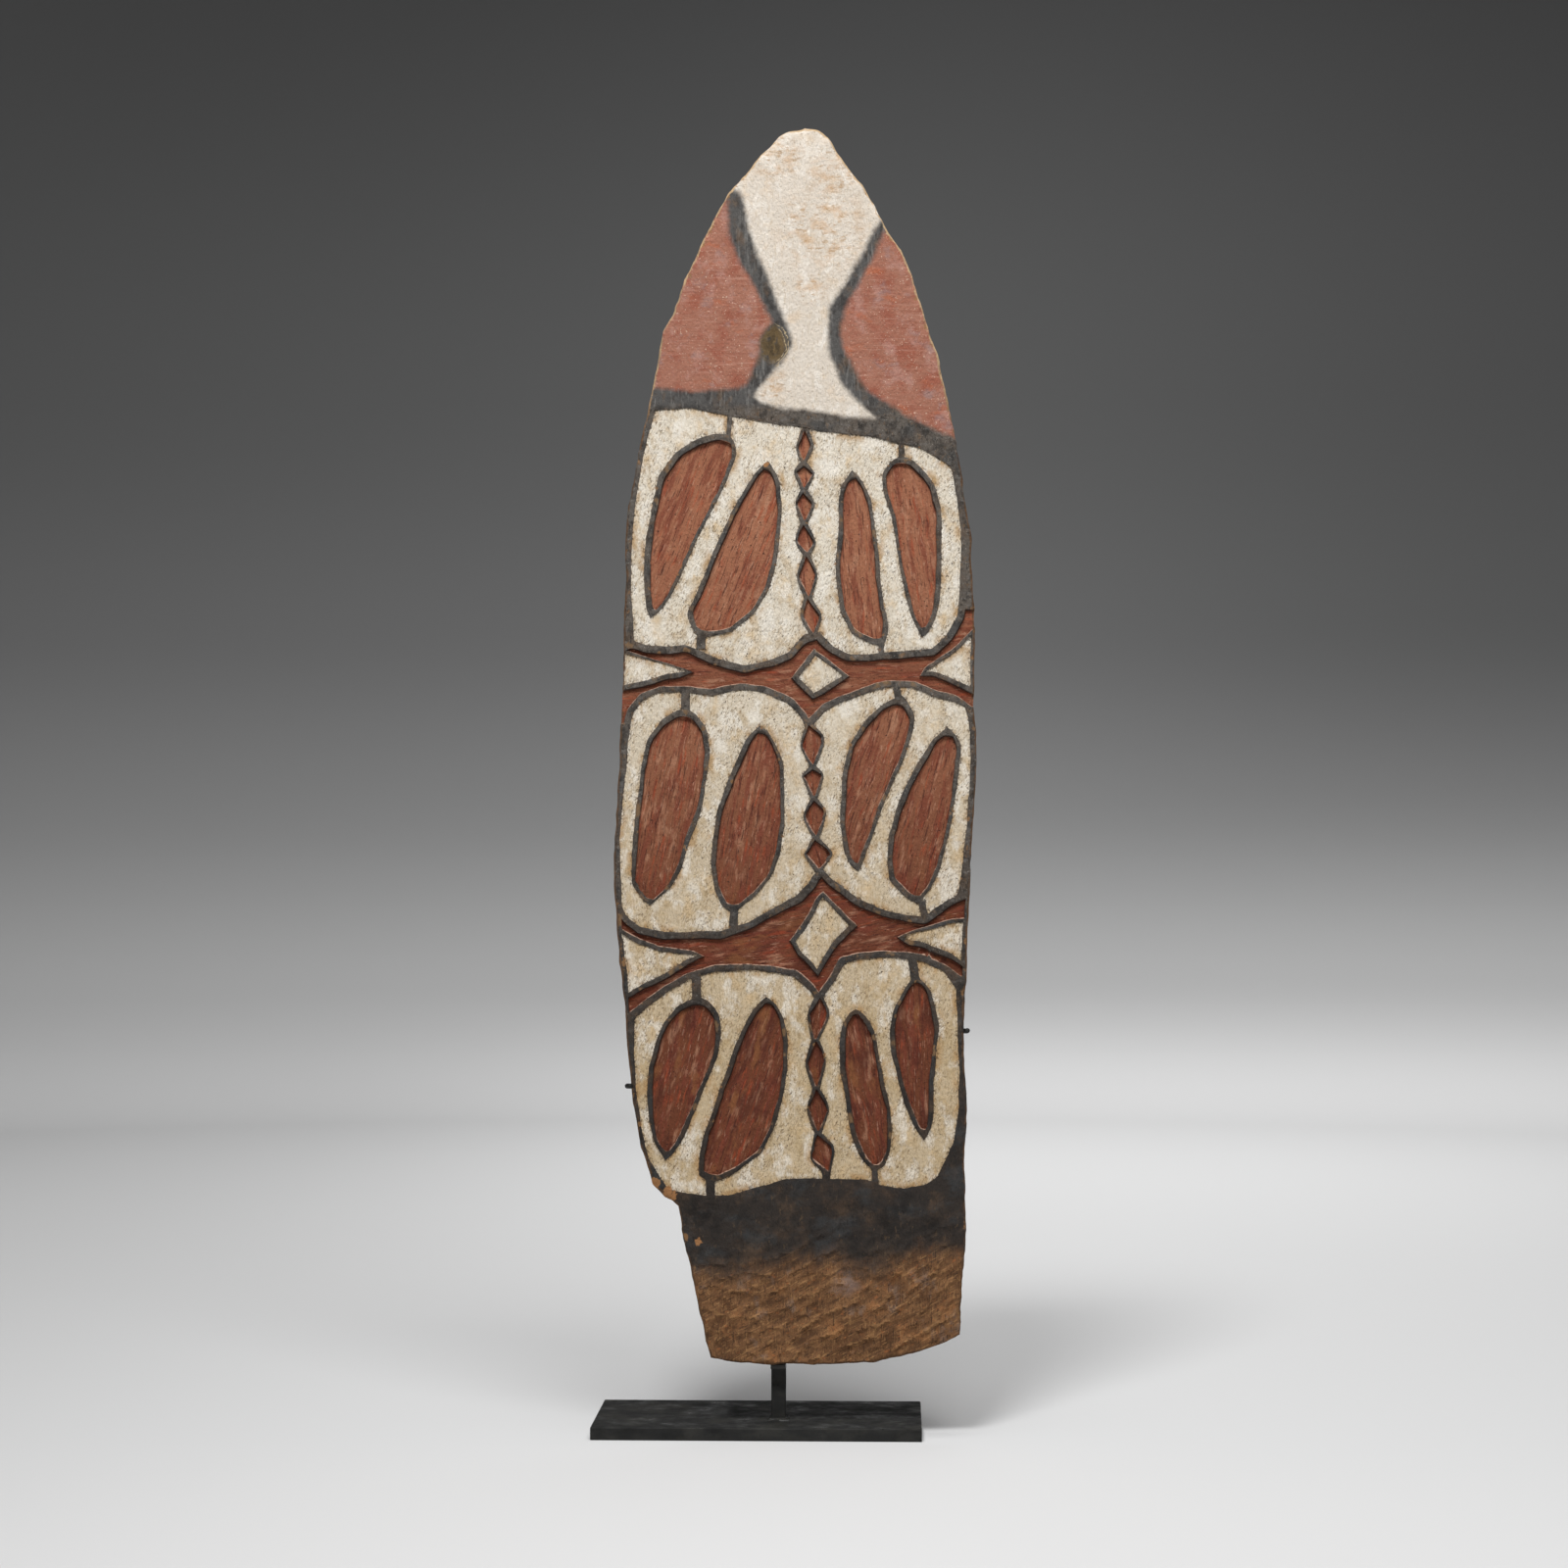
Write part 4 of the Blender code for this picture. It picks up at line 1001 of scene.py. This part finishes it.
LIME_SPECKS = (
    ("#8A7250", 1.9, 7, 0.54, 0.62, 0.6),      # fine scratches down to the wood
    ("#69533A", 2.3, 5.0, 0.59, 0.635, 0.65),  # rubbed strokes of bare wood
    ("#352820", 2.4, 3.4, 0.63, 0.655, 0.9))   # chips down to dark wood
OLD_LIME_MARKS = (
    ("#8F7856", 2.0, 8, 0.53, 0.64, 0.55),     # soot and oil worked into the lime by handling
    ("#B0966C", 26, 36, 0.50, 0.68, 0.45))     # yellowed places
STROKE_MARKS = (
    ("#33302E", 12, 20, 0.46, 0.62, 0.75),     # thick, blacker charcoal
    ("#85827E", 4, 30, 0.52, 0.67, 0.55),      # lime and wood between the hairs of the brush
    ("#6A5542", 16, 30, 0.50, 0.68, 0.5))      # worn to brown wood
CROWN_RED_MARKS = (
    ("#8F4633", 30, 34, 0.44, 0.66, 0.55),     # deeper red where the wash pooled
    ("#B68C80", 24, 30, 0.50, 0.68, 0.55),     # pink, chalky veils
    ("#93807F", 26, 22, 0.55, 0.70, 0.45),     # grey-violet smears of charcoal water
    ("#B0603E", 34, 20, 0.58, 0.70, 0.5),      # orange places
    ("#7E3F2F", 46, 3.0, 0.53, 0.66, 0.3),     # brush strokes across the board
    ("#C79A88", 40, 2.6, 0.56, 0.68, 0.3),     # pale brush strokes
    ("#D9BBA6", 2.2, 2.6, 0.645, 0.67, 0.8))   # flecks of lime
CROWN_LIME_MARKS = (
    ("#D9BFA0", 26, 26, 0.52, 0.70, 0.45),     # faint stain
    ("#EBE4DA", 14, 22, 0.50, 0.66, 0.6),      # thick, clean places
    ("#BFAE97", 1.8, 10, 0.54, 0.66, 0.55),    # fine grain
    ("#7A6650", 1.8, 2.4, 0.655, 0.68, 0.8))   # specks
CROWN_STAIN_MARKS = (
    ("#C6A17A", 22, 16, 0.44, 0.66, 0.6),      # peach stain from the wood below
    ("#A98459", 10, 4.0, 0.55, 0.66, 0.6))     # rubbed brown strokes


def bare_wood(tree, spot):
    """Adzed wood, brown and drawn out along its grain."""
    return marked(tree, spot, "#785538", WOOD_MARKS)


def adzed_wood(tree, spot, crest, greyed):
    """The bare foot: slanting adze cuts, torn crests made paler by a painted highlight, hollows darker by
    dirt and painted shade.
    """
    turned = add(tree, "VectorRotate", {"Vector": spot, "Angle": ADZE_TURN}, rotation_type='Y_AXIS')
    colour = marked(tree, turned, bare_wood(tree, spot), ADZE_MARKS)
    # painted highlight: paler along the crests between the cuts
    colour = laid(tree, colour, "#A87E52", (crest, 1.3, 1.9, 0.35))
    # darker in the middle of each cut's hollow, partly dirt and partly painted shade
    colour = laid(tree, colour, "#4A3323", (crest, 0.5, 0.1, 0.4))
    return laid(tree, colour, "#8C776E", greyed, patches(tree, spot, 14, 10, 33, 0.35, 0.6, 0.8))


def charcoal(tree, spot, height):
    """Charcoal rubbed on in water: grey and thin at the top, browner and blacker below."""
    colour = laid(tree, "#322C28", "#5F5851", (height, 215, 930))
    colour = marked(tree, spot, colour, CHARCOAL_MARKS)
    return marked(tree, spot, colour, THIN_CHARCOAL_MARKS, (height, 230, 700))


def red_ochre(tree, streaks, height, wash):
    """Red ochre in a thin wash over gouge strokes; darker and browner low on the board."""
    colour = laid(tree, "#6B3D28", "#A66F53", (height, 400, 1080))
    shade = add(tree, "Math", {0: wash, 1: 0.5}, operation='MULTIPLY')
    colour = laid(tree, colour, "#6C3826", shade)
    colour = marked(tree, streaks, colour, RED_MARKS)
    return marked(tree, streaks, colour, OLD_RED_MARKS, (height, 700, 430))


def lime_white(tree, spot, height, ground_in, crest):
    """Lime white, chalky and chipped; yellowed and dirtier low on the board, stained beside the ridges, and
    at their foot darkened by dirt and painted shade.
    """
    colour = laid(tree, "#C7B394", "#DFD5C4", (height, 350, 1050))
    colour = laid(tree, colour, "#B79C74", (crest, 1.0, 1.6, 0.4))
    colour = marked(tree, spot, colour, LIME_MARKS)
    turned = add(tree, "VectorRotate", {"Vector": spot, "Angle": SPECK_TURN}, rotation_type='Y_AXIS')
    colour = marked(tree, turned, colour, LIME_SPECKS, patches(tree, spot, 34, 48, 23, 0.34, 0.6))
    colour = marked(tree, spot, colour, OLD_LIME_MARKS, (height, 900, 350))
    colour = laid(tree, colour, "#B08B5C", (ground_in, 11.0, 1.0, 0.75),
                  patches(tree, spot, 22, 34, 22, 0.50, 0.64))
    # dirt and painted shade: dark specks right at the foot of the ridges
    return laid(tree, colour, "#57432F", (ground_in, 5.0, 0.6, 0.85),
                patches(tree, spot, 2.8, 4.0, 21, 0.50, 0.62))


# how soft a brushed edge is, how far it strays and over what length, in mm
BRUSH_EDGE = (4.6, 4.0, 9)


def crown_paint(tree, spot, colour, height, red_in, white_in, stained):
    """The flat top: charcoal strokes between red and white fields, brushed on in water and smudged."""
    strokes = marked(tree, spot, "#545250", STROKE_MARKS)
    red = marked(tree, spot, "#9F6C59", CROWN_RED_MARKS)
    white = marked(tree, spot, "#D8CDBF", CROWN_LIME_MARKS)
    white = marked(tree, spot, white, CROWN_STAIN_MARKS, stained)
    colour = laid(tree, colour, strokes, (height, 1192, 1204))
    colour = laid(tree, colour, red, past(tree, spot, red_in, 0.0, *BRUSH_EDGE))
    return laid(tree, colour, white, past(tree, spot, white_in, 0.0, *BRUSH_EDGE))


def knot(tree, spot, colour):
    """The oval knot beside the white waist: olive brown, dark in the middle, with pale rings."""
    offset = add(tree, "VectorMath", {0: spot, 1: (-KNOT[0], 0.0, -KNOT[1])}, operation='ADD')
    shrunk = add(tree, "VectorMath", {0: offset, 1: (1 / KNOT_SIZE[0], 0.0, 1 / KNOT_SIZE[1])},
                 operation='MULTIPLY')
    out = add(tree, "VectorMath", {0: shrunk}, "Value", operation='LENGTH')
    stray = add(tree, "TexNoise", {"Vector": spot, "Scale": 1 / 13, "Detail": 4.0})
    out = add(tree, "Math", {0: stray, 1: 0.9, 2: out}, operation='MULTIPLY_ADD')
    right = add(tree, "SeparateXYZ", {0: shrunk}, 0)
    colour = laid(tree, colour, "#6B583C", (out, 1.65, 1.1), patches(tree, spot, 6, 9, 81, 0.3, 0.5))
    colour = laid(tree, colour, "#3A3124", (out, 1.4, 0.6), patches(tree, spot, 9, 16, 82, 0.40, 0.60, 0.8))
    for ring in (1.3, 1.5):
        colour = laid(tree, colour, "#C4AE88", (out, ring, ring + 0.05), (out, ring + 0.12, ring + 0.06),
                      (right, 0.0, 0.5), patches(tree, spot, 5, 5, 83, 0.4, 0.54, 0.8))
    return colour


def earth_painted_wood(facts):
    """Earth paints on a carved plank: matt, thin and worn, so that every tool mark still shows."""
    made, tree, spot = blank("earth_painted_wood")
    height = add(tree, "SeparateXYZ", {0: spot}, 2)
    streaks = add(tree, "Attribute", out="Vector", attribute_name="streak")
    fact = {name: add(tree, "Attribute", out="Fac", attribute_name=name) for name in facts}
    up = add(tree, "SeparateXYZ", {0: add(tree, "NewGeometry", out="Normal")}, 2)
    pocket_in, ridge_in = fact["pocket_in"], fact["ridge_in"]

    # charcoal over all, bare adzed wood at the foot, soot and the odd worn ridge
    foot = adzed_wood(tree, spot, fact["crest"], fact["greyed"])
    colour = laid(tree, charcoal(tree, spot, height), foot,
                  past(tree, spot, fact["bare_in"], 0.0, 24, 26, 34))
    colour = laid(tree, colour, "#1D1A18", fact["sooty"], patches(tree, spot, 14, 14, 31, 0.40, 0.52, 0.85))
    colour = laid(tree, colour, "#8B6B48", (ridge_in, -1.0, 0.0), (height, 1195, 1185),
                  (pocket_in, -9.0, -6.0), patches(tree, spot, 30, 34, 34, 0.59, 0.67, 0.6))

    # red in the sunk floors, with painted shade on walls that face down and on the floor below them, and
    # a painted highlight on walls that face up, where the paint is also worn pale
    red = red_ochre(tree, streaks, height, fact["wash"])
    colour = laid(tree, colour, red, past(tree, spot, pocket_in, -0.7, 0.25, 0.4, 3))
    # painted shade: darker on walls that face down and on the floor's edge beneath them
    colour = laid(tree, colour, "#2F1D17", (up, 0.0, -0.35), (pocket_in, -2.2, -1.2),
                  (pocket_in, 1.2, 0.2, 0.75))
    # painted highlight, partly paint worn pale: paler on walls that face up
    colour = laid(tree, colour, "#CDA993", (up, 0.25, 0.5), (pocket_in, -0.05, -0.3),
                  (pocket_in, -1.9, -1.2), patches(tree, spot, 5, 5, 41, 0.38, 0.58, 0.75))

    # white on the ground between the ridges, then the flat painting of the crown and its knot
    white = lime_white(tree, spot, height, fact["ground_in"], fact["crest"])
    colour = laid(tree, colour, white, past(tree, spot, fact["ground_in"], -0.1, 0.3, 1.0, 3.4))
    colour = crown_paint(tree, spot, colour, height, fact["red_in"], fact["white_in"], fact["stained"])
    colour = knot(tree, spot, colour)

    # wood rubbed bare along the rim, at chips and at fresh breaks
    kept = past(tree, spot, fact["rim_in"], 2.2, 1.0, 4.2, 15)
    rubbed = add(tree, "Math", {0: 1.0, 1: kept}, operation='SUBTRACT')
    worn = laid(tree, bare_wood(tree, spot), "#4C3B2C", (height, 1190, 1120, 0.6))
    worn = laid(tree, worn, "#CDB18A", (height, 1150, 1260, 0.75))
    colour = laid(tree, colour, worn, rubbed, patches(tree, spot, 9, 26, 51, 0.36, 0.5, 0.95))
    colour = laid(tree, colour, "#8F6A45", (fact["chipped"], 0.3, 0.7),
                  patches(tree, spot, 16, 16, 61, 0.56, 0.64, 0.75))
    colour = laid(tree, colour, "#A5754A", past(tree, spot, fact["fresh"], 0.5, 0.2, 2.0, 7),
                  (fact["fresh"], 0.0, 0.3, 0.8))
    # grains of pigment and chalk, really finer than 0.3 mm, drawn coarse enough to roughen the light
    grit = patches(tree, spot, 1.6, 5.0, 71, 0.25, 0.75, 0.5)
    chalk = patches(tree, spot, 3.2, 4.6, 72, 0.3, 0.7, 0.6)
    return finish(made, colour, 0.9, 0.25, add(tree, "Math", {0: grit, 1: chalk}, operation='ADD'))


def smoke_dark_wood():
    """The unpainted back and edges: wood darkened by smoke and hands, with open grain, and a painted
    highlight on the crests between cuts.
    """
    made, tree, spot = blank("smoke_dark_wood")
    crest = add(tree, "Attribute", out="Fac", attribute_name="crest")
    colour = laid(tree, bare_wood(tree, spot), "#5C4838", patches(tree, spot, 60, 120, 5, 0.3, 0.7, 0.8))
    # painted highlight: paler along the crests between the chopping cuts
    colour = laid(tree, colour, "#947451", (crest, 1.3, 2.0, 0.35))
    colour = marked(tree, spot, colour, SMOKE_MARKS)
    return finish(made, colour, 0.8, 0.3, patches(tree, spot, 2.2, 40, 6, 0.3, 0.7, 0.5))


STEEL_MARKS = (
    ("#2F2E2A", 34, 20, 0.42, 0.68, 0.8),      # greyer drifts of mill scale
    ("#121212", 8, 8, 0.55, 0.72, 0.6),        # thick wax
    ("#4A3626", 6, 6, 0.70, 0.78, 0.5))        # specks of rust


def blackened_steel():
    """Hot-rolled bar, blackened and waxed: near black and satin, with faint streaks and rust."""
    made, tree, spot = blank("blackened_steel")
    colour = marked(tree, spot, "#1B1B1A", STEEL_MARKS)
    roughness = patches(tree, spot, 30, 20, 9, 0.0, 0.9, 1.0)
    return finish(made, colour, roughness, 0.3, patches(tree, spot, 4, 4, 10, 0.3, 0.7, 0.08))


# the backdrop's tones of painted shade, darker up the wall, from the floor up: where each begins and is
# full, in mm above the floor
BACKDROP_PAINTED_SHADES = ((10, 350, "#B0B0B0"), (250, 850, "#8F8F8F"), (650, 1400, "#707070"),
                  (1100, 2100, "#5E5E5E"), (1900, 3600, "#4F4F4F"))
# how much the grading of painted shade slants across the wall, per mm to the right
BACKDROP_TILT = -0.01


def painted_shade_backdrop():
    """Matt paper for the cove, pale on the floor; painted shade grades it to dark grey up the wall, darker
    at the left of the floor and the right of the wall.
    """
    made, tree, spot = blank("cove_paper_with_painted_shade")
    x, z = [add(tree, "SeparateXYZ", {0: spot}, out=k) for k in (0, 2)]
    level = add(tree, "Math", {0: x, 1: BACKDROP_TILT, 2: z}, operation='MULTIPLY_ADD')
    out = add(tree, "VectorMath", {0: spot}, "Value", operation='LENGTH')
    # painted shade: a trace darker some way out on the floor, darker to the left, and up the wall darker
    # and darker to the right
    colour = laid(tree, "#DCDCDC", "#DADADA", (out, 400, 2300))
    colour = laid(tree, colour, "#DCDCDC", (out, 2500, 4500))
    colour = laid(tree, colour, "#B8B8B8", (x, 200, -1500, 0.45))
    for start, full, tone in BACKDROP_PAINTED_SHADES:
        colour = laid(tree, colour, tone, (level, start, full))
    colour = laid(tree, colour, "#383838", (x, -300, 2200, 0.5), (level, 300, 1400))
    return finish(made, colour, 0.95, 0.1)


# the cove: radius of its floor, of its turn-up and height of its wall in metres, and its facets
COVE_FLOOR, COVE_TURN, COVE_TOP = 4.7, 0.9, 7.0
COVE_MIDDLE, COVE_FLAT, COVE_BENDS, COVE_SIDES = 0.02, 2.0, 12, 128


def studio():
    """A round cove that is floor and backdrop in one."""
    bm = bmesh.new()
    profile = [Vector((x, 0.0, 0.0)) for x in (COVE_MIDDLE, COVE_FLAT, COVE_FLOOR)]
    for k in range(1, COVE_BENDS + 1):
        turn = k / COVE_BENDS * pi / 2
        profile.append(Vector((COVE_FLOOR + COVE_TURN * sin(turn), 0.0, COVE_TURN * (1 - cos(turn)))))
    profile.append(Vector((COVE_FLOOR + COVE_TURN, 0.0, COVE_TOP)))
    verts = [bm.verts.new(p) for p in profile]
    edges = [bm.edges.new(pair) for pair in zip(verts, verts[1:])]
    bmesh.ops.spin(bm, geom=verts + edges, axis=(0, 0, 1), cent=(0, 0, 0), angle=2 * pi,
                   steps=COVE_SIDES, use_merge=True)
    middle = [edge for edge in bm.edges if edge.is_boundary and edge.verts[0].co.z < COVE_TOP / 2]
    bmesh.ops.holes_fill(bm, edges=middle)
    bmesh.ops.recalc_face_normals(bm, faces=bm.faces)
    mesh = bpy.data.meshes.new("studio_cove")
    bm.to_mesh(mesh)
    bm.free()
    mesh.shade_smooth()
    mesh.materials.append(painted_shade_backdrop())
    placed("studio_cove", mesh)


# each lamp: where it hangs, what it is turned to, its width in metres and its power in watts
LAMPS = (("key", (-0.8, -2.9, 5.2), (0.05, 0.0, 0.9), 1.4, 192),
         ("right", (1.3, -3.0, 5.0), (0.05, 0.0, 0.8), 2.6, 120),
         ("top", (0.1, -0.2, 5.4), (0.0, 0.0, 0.0), 1.8, 62),
         ("backdrop", (0.7, 3.0, 4.6), (0.6, 4.0, 0.1), 2.6, 46))
BACKDROP_SPREAD = radians(100.0)
AIR, AIR_STRENGTH = "#F6F7FA", 0.12


def soft_light(name, place, target, size, power):
    """A round soft box, turned to its target."""
    lamp = bpy.data.lights.new(name, 'AREA')
    lamp.shape = 'DISK'
    lamp.size = size
    lamp.energy = power
    made = placed(name, lamp)
    made.location = place
    made.rotation_euler = (Vector(target) - Vector(place)).to_track_quat('-Z', 'Y').to_euler()
    return made


def lights():
    """A key from above on the left, a weaker one from the right, and soft light all round."""
    lamps = [soft_light(*lamp) for lamp in LAMPS]
    lamps[-1].data.spread = BACKDROP_SPREAD
    world = bpy.data.worlds.new("studio_air")
    bpy.context.scene.world = world
    world.use_nodes = True
    air = world.node_tree.nodes["Background"].inputs
    air["Color"].default_value = srgb(AIR)
    air["Strength"].default_value = AIR_STRENGTH


# the camera of the photograph, in metres, worked out from the corners of the stand's plate
CAMERA_PLACE = (0.1694, -4.12, 0.7224)
CAMERA_TILT, CAMERA_TURN = radians(90.0 + 1.15), radians(1.92)
CAMERA_LENS, FILM_WIDTH = 75.3, 36.0


def camera():
    """The camera at the photograph's angle."""
    lens = bpy.data.cameras.new("camera")
    lens.lens = CAMERA_LENS
    lens.sensor_width = FILM_WIDTH
    made = placed("camera", lens)
    made.location = CAMERA_PLACE
    made.rotation_euler = (CAMERA_TILT, 0.0, CAMERA_TURN)
    bpy.context.scene.camera = made


def build():
    """The whole scene: camera, shield, stand and studio."""
    camera()
    board = painted_board()
    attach(board, "root")
    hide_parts("shield_board")
    steel = blackened_steel()
    for name in ("stand_plate", "stand_post"):
        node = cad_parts[name]
        node.data.materials.clear()
        node.data.materials.append(steel)
    arm("left_arm", -1, LEFT_ARM_HEIGHT, LEFT_TIP, steel)
    arm("right_arm", 1, RIGHT_ARM_HEIGHT, RIGHT_TIP, steel)
    weld_bead(steel)
    studio()
    lights()
    bpy.context.scene.view_settings.view_transform = 'Standard'


build()
